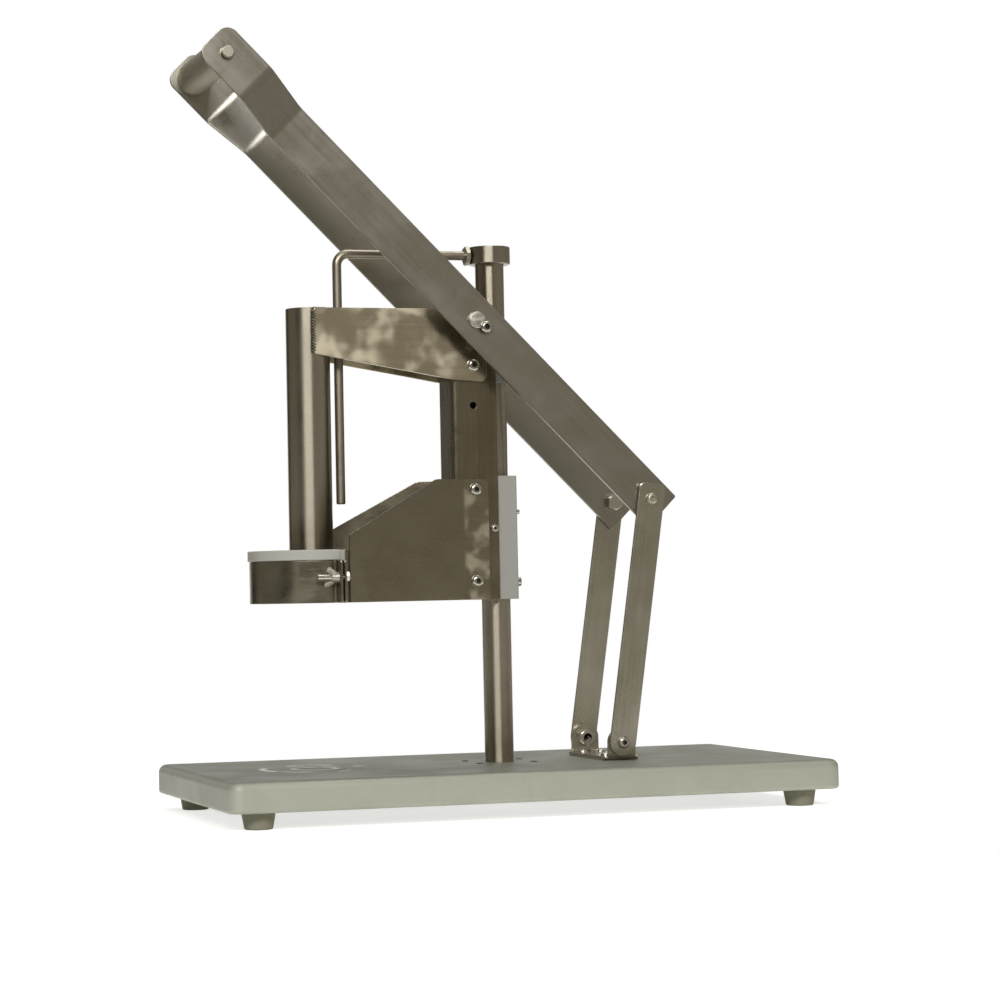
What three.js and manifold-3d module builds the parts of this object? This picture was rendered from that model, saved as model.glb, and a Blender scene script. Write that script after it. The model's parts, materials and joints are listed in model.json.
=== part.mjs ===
// Bench-top pineapple peeler and corer, driven by a long hand lever. Millimetres, +Z up.
// The origin is on the table, under the centre of the base. +X runs along the base from the
// cutter to the links, and -Y is the near side.
import * as THREE from "three";
import { mergeVertices } from "three/addons/utils/BufferGeometryUtils.js";
import Module from "manifold-3d";

const wasm = await Module();
wasm.setup();

// Clearances
const seatGap = 0.3;
const runGap = 0.3;
const cutOverrun = 2;

// Base pan: a folded sheet with turned-in flanges under it
const panLength = 540;
const panWidth = 280;
const panHeight = 25.4;
const panWall = 2;
const panCorner = 12;
const panMouthCorner = 2;
const panBend = 7;
const panReturn = 44;

// Rubber feet, pressed by a stem into holes in the pan's flange
const footHeight = 14.3;
const footTopRadius = 14.6;
const footToeRadius = 12;
const footToeEdge = 1.5;
const footInsetX = 30;
const footInsetY = 25;
const footRecessRadius = 5;
const footRecessDepth = 7;
const footStemRadius = 4;
const footStemHeight = 5;

// Guide post with its plate under the pan
const postRadius = 12.7;
const postX = 7;
const postRise = 452.7;
const postChamfer = 1.2;
const postPlateSize = 84;
const postPlateThickness = 8;
const postPlateCorner = 6;
const postBoltRadius = 4;
const postBoltHeadFlats = 13;
const postBoltHeadHeight = 5.3;
const postBoltLength = 24;
const postBoltWasherRadius = 19;
const postBoltWasherThickness = 2.5;

// Stop collar, its set screw, the ejector rod and the rod's jam nut
const collarRadius = 18.6;
const collarHeight = 15.4;
const collarEdge = 1;
const setScrewRadius = 3;
const setScrewSocketFlats = 3;
const setScrewSocketDepth = 2.5;
const rodRadius = 4;
const rodBendRadius = 10;
const rodReach = 140.2;
const rodDrop = 218.2;
const jamNutFlats = 13;
const jamNutThickness = 4;

// Clevis that carries the links on the base
const clevisThickness = 3.2;
const clevisDepth = 32;
const clevisScrewSpacingX = 17;
const clevisScrewSpacingY = 56;
const clevisScrewRadius = 2.5;
const clevisScrewHeadRadius = 4.6;
const clevisScrewHeadHeight = 2.6;
const clevisScrewSocketFlats = 3;
const clevisNutFlats = 8;
const clevisNutHeight = 4;
const clevisEarRadius = 12.7;

// Carriage channel: the gap under it at rest sets the height of all that rides on it
const workGap = 142;
const channelHeight = 253;
const channelWidth = 38.7;
const channelDepth = 41;
const channelWall = 3.2;
const channelBend = 4;
const channelBackOffset = 43.5;
const spareHoleRadius = 3;
const spareHoleHeight = 169.6;
const spareHoleInset = 19.6;

// Plastic guide blocks that run on the post
const lowerBlockHeight = 108;
const upperBlockHeight = 40;
const upperBlockLift = 189.5;
const blockHeadHalfWidth = 17;
const blockFrontWall = 3;
const adjusterRadius = 2.3;
const adjusterHeadRadius = 4.4;
const adjusterReach = 7;
const adjusterLowHeight = 15;
const adjusterSpacing = 61.7;
const adjusterSocketFlats = 2.5;
const adjusterSocketDepth = 2;

// Cutter: core tube, ring of two clamped half bands, plastic holder and peeling blade
const cutterOffset = 167.5;
const coreRadius = 19.05;
const coreWall = 1.6;
const coreHeight = 254;
const coreEdge = 2.4;
const ringRadius = 53.7;
const ringHeight = 45.2;
const frontBandHeight = 36;
const bandThickness = 2;
const ringSplitOffset = 10;
const tabReach = 13;
const tabThickness = 2.4;
const tabGap = 0.6;
const holderWall = 5;
const holderLip = 1.4;
const bladeThickness = 1.5;
const bladeRecess = 3;
const bladeEdge = 2;

// Clamp bolts and wing nuts of the cutter ring
const clampHeight = 21.6;
const clampRadius = 2.5;
const clampHeadFlats = 8;
const clampHeadHeight = 3.5;
const clampBoltReach = 24;
const wingHubRadius = 4.6;
const wingHubLength = 7;
const wingSpan = 20;
const wingThickness = 2.2;
const wingHeight = 9;
const wingRise = 3;
const wingTilt = 34;

// Upper bracket plates, welded to the core tube and screwed to the channel
const bracketThickness = 3.2;
const upperPlateTop = 253.9;
const upperPlateOuterDepth = 40;
const upperPlateInnerDepth = 64.5;
const upperPlateFlat = 31;
const upperPlateRise = 2.2;
const upperPlateFront = 9.4;
const upperPlateCorner = 6;
const upperScrewHeight = 204.5;

// Lower bracket arms, flared out from the channel to the cutter ring
const armHeight = 105;
const armTabFront = 10.1;
const armTabLength = 22.4;
const armTabCorner = 4;
const armFlat = 28;
const armEndHeight = 57;
const armEndPlace = 25.5;
const armLap = 6;
const armScrewLow = 16.4;
const armScrewSpacing = 79.7;

// Screws of both brackets
const bracketScrewRadius = 2.5;
const bracketScrewHeadRadius = 5.6;
const bracketScrewHeadHeight = 3.4;
const bracketScrewLength = 13;
const bracketScrewSocketFlats = 4;
const bracketScrewInset = 21.9;

// Lever: two flat bars, joggled apart at the grip end
const leverAngle = 44.9;
const leverWidth = 38.1;
const leverThickness = 3.2;
const leverHalfSpread = 45.5;
const leverArm = 221.5;
const leverTail = 16.5;
const gripReach = 314.5;
const gripEnd = 17.5;
const gripSetback = 76.5;
const joggleLength = 40.5;
const joggleSpread = 18.5;
const leverEarCorner = 11;
const leverTailCorner = 1.5;

// Lever pivot on the carriage
const pivotHeight = 241.9;
const pivotOffset = 28;
const pivotRadius = 4.8;
const pivotSpacerRadius = 8;
const pivotNutRadius = 9;
const pivotNutFlange = 2;
const pivotNutHeight = 6.6;
const pivotHeadRadius = 5.8;
const pivotHeadHeight = 6;
const pivotSocketFlats = 5;
const pivotSocketDepth = 3;

// Grip tube and its through bolt
const gripRadius = 15;
const gripWall = 2;
const gripBoltRadius = 4;
const gripBoltHeadFlats = 12;
const gripBoltHeadHeight = 5;

// Links between the lever's tail and the base
const linkLength = 214.3;
const linkLean = 8.5;
const linkWidth = 24.2;
const linkThickness = 3.2;
const linkHalfSpread = 50.3;
const linkTopEnd = 14;
const linkTopCorner = 5;
const linkPinRadius = 4;
const linkHeadRadius = 5.4;
const linkHeadHeight = 3.2;
const linkSocketFlats = 4;
const linkSocketDepth = 1.6;
const linkNutFlats = 13;
const linkNutHeight = 6.5;
const linkWasherRadius = 8;

// Facets and shares
const roundSides = 36;
const ringSides = 54;
const boltSides = 14;
const smallSides = 12;
const cornerSteps = 2;
const bendSteps = 3;
const rodBendSteps = 6;
const domeEdgeShare = 0.45;
const domeTopShare = 0.6;

// Heights and places that follow from the sizes
const panBottom = footHeight;
const panTop = panBottom + panHeight;
const postTop = panTop + postRise;
const postFoot = panTop - panWall - postPlateThickness;
const collarBottom = postTop - collarHeight;
const rodHeight = collarBottom + collarHeight / 2;
const rodX = postX - rodReach;
const carriageBottom = panTop + workGap;
const channelBack = postX - channelBackOffset;
const channelFront = channelBack + channelDepth;
const flangeOuter = channelWidth / 2;
const flangeInner = flangeOuter - channelWall;
const plateOuter = flangeOuter + bracketThickness;
const cutterX = postX - cutterOffset;
const ringTop = carriageBottom + ringHeight;
const splitX = cutterX + ringSplitOffset;
const bracketScrewX = channelFront - bracketScrewInset;
const pivotX = postX - pivotOffset;
const pivotZ = carriageBottom + pivotHeight;
const leverInner = leverHalfSpread - leverThickness;
const linkInner = linkHalfSpread - linkThickness;
const leverTurn = THREE.MathUtils.degToRad(leverAngle);
const linkTurn = THREE.MathUtils.degToRad(linkLean);
const joggleReach = gripReach - gripSetback;
const tailX = pivotX + leverArm * Math.cos(leverTurn);
const tailZ = pivotZ - leverArm * Math.sin(leverTurn);
const clevisX = tailX - linkLength * Math.sin(linkTurn);
const clevisZ = tailZ - linkLength * Math.cos(linkTurn);
const clevisOuter = linkInner - 2 * seatGap;
const clevisInner = clevisOuter - clevisThickness;

// Finishes
const finishes = {
  brushedSteel: { color: 0x8c887b, roughness: 0.42, metalness: 0.9 },
  polishedSteel: { color: 0x8a8472, roughness: 0.25, metalness: 0.95 },
  panSteel: { color: 0xb9b9a8, roughness: 0.5, metalness: 0.6 },
  postSteel: { color: 0x9a958a, roughness: 0.2, metalness: 1 },
  chrome: { color: 0xd2d0c8, roughness: 0.12, metalness: 1 },
  whitePlastic: { color: 0xa9a79c, roughness: 0.6, metalness: 0 },
  bladeSteel: { color: 0xc8c6bd, roughness: 0.2, metalness: 1 },
  rubber: { color: 0x7d7b68, roughness: 0.85, metalness: 0 },
};

const materials = Object.fromEntries(
  Object.entries(finishes).map(([name, look]) => [name, new THREE.MeshStandardMaterial(look)]),
);

const sides = [[-1, "near"], [1, "far"]];

// A closed geometry as a solid that can be joined and cut
function solidOf(shape) {
  if (!shape.isBufferGeometry) return shape;
  const bare = shape.clone();
  bare.deleteAttribute("normal");
  bare.deleteAttribute("uv");
  const merged = mergeVertices(bare);
  const kept = [];
  for (let i = 0; i < merged.index.count; i += 3) {
    const corner = [0, 1, 2].map((k) => merged.index.getX(i + k));
    if (new Set(corner).size === corner.length) kept.push(...corner);
  }
  return new wasm.Manifold(new wasm.Mesh({
    numProp: 3,
    vertProperties: new Float32Array(merged.attributes.position.array),
    triVerts: new Uint32Array(kept),
  }));
}

function join(...shapes) {
  return shapes.map(solidOf).reduce((whole, next) => whole.add(next));
}

function cut(body, ...tools) {
  return tools.map(solidOf).reduce((left, tool) => left.subtract(tool), solidOf(body));
}

function overlapOf(first, second) {
  return solidOf(first).intersect(solidOf(second));
}

function geometryOf(shape) {
  const mesh = solidOf(shape).getMesh();
  const geometry = new THREE.BufferGeometry();
  geometry.setAttribute("position", new THREE.BufferAttribute(new Float32Array(mesh.vertProperties), 3));
  geometry.setIndex(new THREE.BufferAttribute(new Uint32Array(mesh.triVerts), 1));
  geometry.computeVertexNormals();
  return geometry;
}

function addPiece(group, name, shape, finish) {
  const mesh = new THREE.Mesh(geometryOf(shape), materials[finish]);
  mesh.name = name;
  group.add(mesh);
}

// Turns a geometry made along +Z to point along another axis
function aim(geometry, direction) {
  const quarter = Math.PI / 2;
  if (direction === "-y") geometry.rotateX(quarter);
  if (direction === "+y") geometry.rotateX(-quarter);
  if (direction === "+x") geometry.rotateY(quarter);
  if (direction === "-x") geometry.rotateY(-quarter);
  return geometry;
}

function box(x0, x1, y0, y1, z0, z1) {
  const geometry = new THREE.BoxGeometry(x1 - x0, y1 - y0, z1 - z0);
  return geometry.translate((x0 + x1) / 2, (y0 + y1) / 2, (z0 + z1) / 2);
}

// A solid of revolution about +Z; the profile runs up its outer side
function turned(profile, count) {
  const points = profile.map(([radius, height]) => new THREE.Vector2(radius, height));
  return new THREE.LatheGeometry(points, count).rotateX(Math.PI / 2);
}

function disc(radius, low, high, count = boltSides) {
  return turned([[0, low], [radius, low], [radius, high], [0, high]], count);
}

// A round bar or a hole between two places on an axis: "x", "y" or "z"
function bar(axis, radius, low, high, [x, y, z], count = boltSides) {
  return aim(disc(radius, low, high, count), axis === "z" ? "+z" : `+${axis}`).translate(x, y, z);
}

function hexagon(flats, low, high) {
  const radius = flats / Math.sqrt(3);
  return turned([[0, low], [radius, low], [radius, high], [0, high]], 6);
}

function ringSolid(outer, inner, low, high, count) {
  return turned([[outer, low], [outer, high], [inner, high], [inner, low], [outer, low]], count);
}

// A closed outline with rounded corners; each corner is x, y and its radius
function roundedOutline(corners) {
  const shape = new THREE.Shape();
  const count = corners.length;
  corners.forEach(([x, y, radius], i) => {
    const here = new THREE.Vector2(x, y);
    const back = new THREE.Vector2(...corners[(i + count - 1) % count].slice(0, 2)).sub(here).normalize();
    const ahead = new THREE.Vector2(...corners[(i + 1) % count].slice(0, 2)).sub(here).normalize();
    const half = Math.acos(back.dot(ahead)) / 2;
    const start = here.clone().addScaledVector(back, radius / Math.tan(half));
    if (i === 0) shape.moveTo(start.x, start.y);
    else shape.lineTo(start.x, start.y);
    if (radius > 0) {
      const inward = back.clone().add(ahead).normalize();
      const centre = here.clone().addScaledVector(inward, radius / Math.sin(half));
      const end = here.clone().addScaledVector(ahead, radius / Math.tan(half));
      const from = Math.atan2(start.y - centre.y, start.x - centre.x);
      const to = Math.atan2(end.y - centre.y, end.x - centre.x);
      shape.absarc(centre.x, centre.y, radius, from, to, back.cross(ahead) > 0);
    }
  });
  return shape;
}

function rectangleCorners(x0, x1, y0, y1, radius) {
  return [[x0, y0, radius], [x1, y0, radius], [x1, y1, radius], [x0, y1, radius]];
}

// An X-Y outline raised between two heights
function raised(corners, low, high) {
  const options = { depth: high - low, bevelEnabled: false, curveSegments: cornerSteps };
  return new THREE.ExtrudeGeometry(roundedOutline(corners), options).translate(0, 0, low);
}

// An X-Z outline as a plate on one side of the middle plane, from inner to outer |Y|
function sidePlate(corners, inner, outer, side) {
  const options = { depth: outer - inner, bevelEnabled: false, curveSegments: cornerSteps };
  const plate = new THREE.ExtrudeGeometry(roundedOutline(corners), options).rotateX(Math.PI / 2);
  return plate.translate(0, side < 0 ? -inner : outer, 0);
}

// A screw standing on z = 0 with its shank below and a domed socket head above
function domedScrew(headRadius, headHeight, shankRadius, shankLength, socketFlats, socketDepth) {
  const neck = headRadius > shankRadius ? [[shankRadius, 0]] : [];
  const profile = [
    [0, -shankLength],
    [shankRadius, -shankLength],
    ...neck,
    [headRadius, 0],
    [headRadius, headHeight * domeEdgeShare],
    [headRadius * domeTopShare, headHeight],
    [0, headHeight],
  ];
  const socket = hexagon(socketFlats, headHeight - socketDepth, headHeight + cutOverrun);
  return cut(turned(profile, boltSides), socket);
}

// The same screw placed with its head's seat at a point, pointing along an axis
function placed(shape, direction, [x, y, z]) {
  return aim(geometryOf(shape), direction).translate(x, y, z);
}

function outward(side) {
  return side < 0 ? "-y" : "+y";
}

function grid(spacingX, spacingY) {
  return [[-1, -1], [1, -1], [1, 1], [-1, 1]].map(([i, j]) => [i * spacingX / 2, j * spacingY / 2]);
}

// Base

// The folded skin's outside, or with an inset its inside, rounded along its top edge
function panShell(inset, low, top) {
  const bend = panBend - inset;
  const shell = new THREE.ExtrudeGeometry(
    roundedOutline(rectangleCorners(
      inset - panLength / 2, panLength / 2 - inset,
      inset - panWidth / 2, panWidth / 2 - inset,
      panCorner - inset,
    )),
    {
      depth: top - bend - low,
      bevelThickness: bend,
      bevelSize: bend,
      bevelOffset: -bend,
      bevelSegments: bendSteps,
      curveSegments: cornerSteps,
    },
  ).translate(0, 0, low);
  const skirt = box(-panLength, panLength, -panWidth, panWidth, low - 2 * panBend, low);
  return cut(shell, skirt);
}

function footPlaces() {
  return grid(panLength - 2 * footInsetX, panWidth - 2 * footInsetY);
}

function buildPan(group) {
  const mouth = raised(
    rectangleCorners(
      panReturn - panLength / 2, panLength / 2 - panReturn,
      panReturn - panWidth / 2, panWidth / 2 - panReturn,
      panMouthCorner,
    ),
    panBottom - cutOverrun,
    panBottom + panWall + cutOverrun,
  );
  const topLow = panTop - panWall - cutOverrun;
  const topHigh = panTop + cutOverrun;
  const postHole = bar("z", postRadius + seatGap, topLow, topHigh, [postX, 0, 0], roundSides);
  const clevisHoles = grid(clevisScrewSpacingX, clevisScrewSpacingY).map(([x, y]) => (
    bar("z", clevisScrewRadius + seatGap, topLow, topHigh, [clevisX + x, y, 0])));
  const footHoles = footPlaces().map(([x, y]) => (
    bar("z", footStemRadius + seatGap, panBottom - cutOverrun, panBottom + panWall + cutOverrun, [x, y, 0])));
  const pan = cut(
    panShell(0, panBottom, panTop),
    panShell(panWall, panBottom + panWall, panTop - panWall),
    mouth, postHole, ...clevisHoles, ...footHoles,
  );
  addPiece(group, "base_pan", pan, "panSteel");
}

function buildFeet(group) {
  const profile = [
    [0, footRecessDepth],
    [footRecessRadius, footRecessDepth],
    [footRecessRadius, 0],
    [footToeRadius - footToeEdge, 0],
    [footToeRadius, footToeEdge],
    [footTopRadius, footHeight],
    [footStemRadius, footHeight],
    [footStemRadius, footHeight + footStemHeight],
    [0, footHeight + footStemHeight],
  ];
  const names = ["near_left", "near_right", "far_right", "far_left"];
  footPlaces().forEach(([x, y], i) => {
    addPiece(group, `foot_${names[i]}`, turned(profile, boltSides).translate(x, y, 0), "rubber");
  });
}

function buildPost(group) {
  const threadRadius = postBoltRadius + seatGap;
  const threadTop = postFoot + postBoltLength + seatGap;
  const post = turned([
    [0, threadTop],
    [threadRadius, threadTop],
    [threadRadius, postFoot],
    [postRadius, postFoot],
    [postRadius, postTop - postChamfer],
    [postRadius - postChamfer, postTop],
    [0, postTop],
  ], roundSides).translate(postX, 0, 0);
  addPiece(group, "guide_post", post, "postSteel");

  const half = postPlateSize / 2;
  const plateTop = panTop - panWall;
  const plate = raised(
    rectangleCorners(postX - half, postX + half, -half, half, postPlateCorner),
    plateTop - postPlateThickness,
    plateTop,
  );
  const bore = bar("z", postRadius + seatGap, postFoot - cutOverrun, panTop, [postX, 0, 0], roundSides);
  addPiece(group, "post_plate", cut(plate, bore), "brushedSteel");

  const bolt = join(
    hexagon(postBoltHeadFlats, -postBoltHeadHeight, 0),
    disc(postBoltWasherRadius, -postBoltWasherThickness, 0, roundSides),
    disc(postBoltRadius, 0, postBoltLength, smallSides),
  );
  addPiece(group, "post_bolt", placed(bolt, "+z", [postX, 0, postFoot]), "brushedSteel");
}

function buildCollar(group) {
  const inner = postRadius + seatGap;
  const collar = turned([
    [inner, collarBottom],
    [collarRadius - collarEdge, collarBottom],
    [collarRadius, collarBottom + collarEdge],
    [collarRadius, postTop - collarEdge],
    [collarRadius - collarEdge, postTop],
    [inner, postTop],
    [inner, collarBottom],
  ], roundSides).translate(postX, 0, 0);
  const rodHole = bar("x", rodRadius + seatGap, postX - 2 * collarRadius, postX, [0, 0, rodHeight]);
  const screwHole = bar("x", setScrewRadius + seatGap, postX, postX + 2 * collarRadius, [0, 0, rodHeight]);
  addPiece(group, "post_collar", cut(collar, rodHole, screwHole), "brushedSteel");

  const tip = postX + postRadius + seatGap;
  const end = postX + collarRadius - seatGap;
  const screw = cut(
    bar("x", setScrewRadius, tip, end, [0, 0, rodHeight], smallSides),
    aim(hexagon(setScrewSocketFlats, end - setScrewSocketDepth, end + cutOverrun), "+x").translate(0, 0, rodHeight),
  );
  addPiece(group, "collar_set_screw", screw, "brushedSteel");
}

// Points along the rod: from the collar out over the cutter, round one bend and down
function rodRoute() {
  const start = new THREE.Vector3(postX - postRadius - 2 * seatGap, 0, rodHeight);
  const bendX = rodX + rodBendRadius;
  const bendZ = rodHeight - rodBendRadius;
  const points = [start];
  for (let i = 0; i <= rodBendSteps; i += 1) {
    const turn = (i / rodBendSteps) * (Math.PI / 2);
    points.push(new THREE.Vector3(
      bendX - rodBendRadius * Math.sin(turn), 0, bendZ + rodBendRadius * Math.cos(turn)));
  }
  points.push(new THREE.Vector3(rodX, 0, rodHeight - rodDrop));
  return points;
}

// A round bar of many sides that follows points in the X-Z plane
function bentBar(points, radius, count) {
  const positions = [];
  const indices = [];
  points.forEach((point, i) => {
    const before = points[Math.max(i - 1, 0)];
    const after = points[Math.min(i + 1, points.length - 1)];
    const along = after.clone().sub(before).normalize();
    const across = new THREE.Vector3(-along.z, 0, along.x);
    for (let k = 0; k < count; k += 1) {
      const turn = (k / count) * 2 * Math.PI;
      const vertex = point.clone().addScaledVector(across, radius * Math.cos(turn));
      positions.push(vertex.x, vertex.y + radius * Math.sin(turn), vertex.z);
    }
  });
  for (let i = 0; i < points.length - 1; i += 1) {
    for (let k = 0; k < count; k += 1) {
      const a = i * count + k;
      const b = i * count + (k + 1) % count;
      indices.push(a, b + count, b, a, a + count, b + count);
    }
  }
  const last = (points.length - 1) * count;
  for (let k = 1; k < count - 1; k += 1) {
    indices.push(0, k, k + 1, last, last + k + 1, last + k);
  }
  const geometry = new THREE.BufferGeometry();
  geometry.setAttribute("position", new THREE.Float32BufferAttribute(positions, 3));
  geometry.setIndex(indices);
  return geometry;
}

function buildEjector(group) {
  addPiece(group, "ejector_rod", bentBar(rodRoute(), rodRadius, boltSides), "postSteel");
  const face = postX - collarRadius - seatGap;
  const nut = cut(
    hexagon(jamNutFlats, face - jamNutThickness, face),
    disc(rodRadius + seatGap, face - jamNutThickness - cutOverrun, face + cutOverrun),
  );
  addPiece(group, "rod_jam_nut", placed(nut, "+x", [0, 0, rodHeight]), "brushedSteel");
}

function buildClevis(group) {
  const plateTop = panTop + clevisThickness;
  const plate = box(
    clevisX - clevisDepth / 2, clevisX + clevisDepth / 2, -clevisOuter, clevisOuter, panTop, plateTop);
  const ears = sides.map(([side]) => join(
    sidePlate(
      [
        [clevisX - clevisEarRadius, panTop, 0],
        [clevisX + clevisEarRadius, panTop, 0],
        [clevisX + clevisEarRadius, clevisZ, 0],
        [clevisX - clevisEarRadius, clevisZ, 0],
      ],
      clevisInner, clevisOuter, side,
    ),
    bar("y", clevisEarRadius,
      Math.min(side * clevisInner, side * clevisOuter), Math.max(side * clevisInner, side * clevisOuter),
      [clevisX, 0, clevisZ], roundSides),
  ));
  const pinHole = bar("y", linkPinRadius + runGap, -panWidth / 2, panWidth / 2, [clevisX, 0, clevisZ]);
  const screwHoles = grid(clevisScrewSpacingX, clevisScrewSpacingY).map(([x, y]) => (
    bar("z", clevisScrewRadius + seatGap, panTop - cutOverrun, plateTop + cutOverrun, [clevisX + x, y, 0])));
  addPiece(group, "link_clevis", cut(join(plate, ...ears), pinHole, ...screwHoles), "brushedSteel");

  const length = clevisThickness + panWall + clevisNutHeight;
  const screw = join(
    domedScrew(
      clevisScrewHeadRadius, clevisScrewHeadHeight, clevisScrewRadius, length,
      clevisScrewSocketFlats, clevisScrewHeadHeight / 2),
    hexagon(clevisNutFlats, -length, clevisNutHeight - length),
  );
  grid(clevisScrewSpacingX, clevisScrewSpacingY).forEach(([x, y], i) => {
    addPiece(group, `clevis_screw_${i + 1}`, placed(screw, "+z", [clevisX + x, y, plateTop]), "chrome");
  });

  const seat = linkHalfSpread + seatGap;
  const bolt = join(
    domedScrew(
      linkHeadRadius, linkHeadHeight, linkPinRadius, seat - clevisInner + linkNutHeight,
      linkSocketFlats, linkSocketDepth),
    hexagon(linkNutFlats, clevisInner - linkNutHeight - seat, clevisInner - seat),
  );
  sides.forEach(([side, name]) => {
    addPiece(group, `link_foot_bolt_${name}`, placed(bolt, outward(side), [clevisX, side * seat, clevisZ]), "chrome");
  });
}

// Carriage

function buildChannel(group) {
  const outline = [
    [channelBack, -flangeOuter, channelBend],
    [channelFront, -flangeOuter, 0],
    [channelFront, -flangeInner, 0],
    [channelBack + channelWall, -flangeInner, 0],
    [channelBack + channelWall, flangeInner, 0],
    [channelFront, flangeInner, 0],
    [channelFront, flangeOuter, 0],
    [channelBack, flangeOuter, channelBend],
  ];
  const across = (radius, x, z) => bar("y", radius, -channelWidth, channelWidth, [x, 0, z]);
  const channel = cut(
    raised(outline, carriageBottom, carriageBottom + channelHeight),
    across(pivotRadius + seatGap, pivotX, pivotZ),
    across(spareHoleRadius, channelBack + spareHoleInset, carriageBottom + spareHoleHeight),
    across(bracketScrewRadius + seatGap, bracketScrewX, carriageBottom + upperScrewHeight),
    ...armScrewHeights().map((z) => across(bracketScrewRadius + seatGap, bracketScrewX, z)),
  );
  addPiece(group, "carriage_channel", channel, "polishedSteel");
}

function armScrewHeights() {
  const low = carriageBottom + armScrewLow;
  return [low, low + armScrewSpacing];
}

// A block that fills the channel, with a wider head in front of the flanges
function guideBlock(low, high, screwHeights, adjusterHeights) {
  const back = channelBack + channelWall + seatGap;
  const waist = flangeInner - seatGap;
  const shoulder = channelFront + seatGap;
  const front = postX + postRadius + blockFrontWall;
  const outline = [
    [back, -waist, 0],
    [shoulder, -waist, 0],
    [shoulder, -blockHeadHalfWidth, 0],
    [front, -blockHeadHalfWidth, 0],
    [front, blockHeadHalfWidth, 0],
    [shoulder, blockHeadHalfWidth, 0],
    [shoulder, waist, 0],
    [back, waist, 0],
  ];
  const bore = bar("z", postRadius + runGap, low - cutOverrun, high + cutOverrun, [postX, 0, 0], roundSides);
  const hole = bracketScrewRadius + seatGap;
  const depth = plateOuter - bracketScrewLength - seatGap;
  const screwHoles = screwHeights.flatMap((z) => [
    bar("y", hole, -channelWidth, -depth, [bracketScrewX, 0, z]),
    bar("y", hole, depth, channelWidth, [bracketScrewX, 0, z]),
  ]);
  const adjusterHoles = adjusterHeights.map((z) => (
    bar("x", adjusterRadius + seatGap, postX + postRadius, front + cutOverrun, [0, 0, z])));
  return cut(raised(outline, low, high), bore, ...screwHoles, ...adjusterHoles);
}

function buildGuideBlocks(group) {
  const adjusters = [carriageBottom + adjusterLowHeight, carriageBottom + adjusterLowHeight + adjusterSpacing];
  const lower = guideBlock(carriageBottom, carriageBottom + lowerBlockHeight, armScrewHeights(), adjusters);
  addPiece(group, "guide_block_lower", lower, "whitePlastic");
  const upperLow = carriageBottom + upperBlockLift;
  const upper = guideBlock(upperLow, upperLow + upperBlockHeight, [carriageBottom + upperScrewHeight], []);
  addPiece(group, "guide_block_upper", upper, "whitePlastic");

  const face = postX + postRadius + blockFrontWall + seatGap;
  const adjuster = (headRadius) => domedScrew(
    headRadius, adjusterReach, adjusterRadius, blockFrontWall - seatGap,
    adjusterSocketFlats, adjusterSocketDepth);
  [adjusterHeadRadius, adjusterRadius].forEach((headRadius, i) => {
    addPiece(group, `guide_adjuster_${i + 1}`, placed(adjuster(headRadius), "+x", [face, 0, adjusters[i]]), "chrome");
  });
}

function buildUpperBracket(group) {
  const top = carriageBottom + upperPlateTop;
  const front = channelFront - upperPlateFront;
  const low = top - upperPlateInnerDepth;
  const outline = [
    [cutterX, top - upperPlateOuterDepth, 0],
    [front - upperPlateFlat, low + upperPlateRise, 0],
    [front, low, upperPlateCorner],
    [front, top, upperPlateCorner],
    [cutterX, top, 0],
  ];
  sides.forEach(([side, name]) => {
    const plate = cut(
      sidePlate(outline, flangeOuter, plateOuter, side),
      bar("y", pivotRadius + seatGap, -channelWidth, channelWidth, [pivotX, 0, pivotZ]),
      bar("y", bracketScrewRadius + seatGap, -channelWidth, channelWidth,
        [bracketScrewX, 0, carriageBottom + upperScrewHeight]),
    );
    addPiece(group, `upper_bracket_${name}`, plate, "polishedSteel");
  });
}

// One arm: a flat tab on the channel, a bend, and a flared plate out to the ring's side
function lowerArm(side) {
  const low = carriageBottom;
  const top = low + armHeight;
  const bendX = channelFront - armTabFront - armTabLength;
  const tab = sidePlate(
    [
      [bendX, low, 0],
      [bendX + armTabLength, low, armTabCorner],
      [bendX + armTabLength, top, armTabCorner],
      [bendX, top, 0],
    ],
    flangeOuter, plateOuter, side,
  );
  const endX = cutterX + armEndPlace;
  const endY = Math.sqrt(ringRadius ** 2 - armEndPlace ** 2);
  const flare = Math.atan2(endY - flangeOuter, bendX - endX);
  const run = Math.hypot(endY - flangeOuter, bendX - endX) + armLap;
  const plate = sidePlate(
    [[-run, low, 0], [0, low, 0], [0, top, 0], [-armFlat, top, 0], [-run, low + armEndHeight, 0]],
    0, bracketThickness, side,
  ).rotateZ(side < 0 ? flare : -flare).translate(bendX, side * flangeOuter, 0);
  const seat = bar("z", ringRadius + seatGap, low - cutOverrun, top, [cutterX, 0, 0], ringSides);
  const holes = armScrewHeights().map((z) => (
    bar("y", bracketScrewRadius + seatGap, -channelWidth, channelWidth, [bracketScrewX, 0, z])));
  return cut(join(tab, plate), seat, ...holes);
}

function buildLowerBracket(group) {
  sides.forEach(([side, name]) => {
    addPiece(group, `lower_bracket_${name}`, lowerArm(side), "polishedSteel");
  });
}

function buildBracketScrews(group) {
  const screw = domedScrew(
    bracketScrewHeadRadius, bracketScrewHeadHeight, bracketScrewRadius, bracketScrewLength,
    bracketScrewSocketFlats, bracketScrewHeadHeight / 2);
  sides.forEach(([side, name]) => {
    const place = (z) => placed(screw, outward(side), [bracketScrewX, side * plateOuter, z]);
    addPiece(group, `upper_bracket_screw_${name}`, place(carriageBottom + upperScrewHeight), "chrome");
    armScrewHeights().forEach((z, i) => {
      addPiece(group, `lower_bracket_screw_${name}_${i + 1}`, place(z), "chrome");
    });
  });
}

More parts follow.
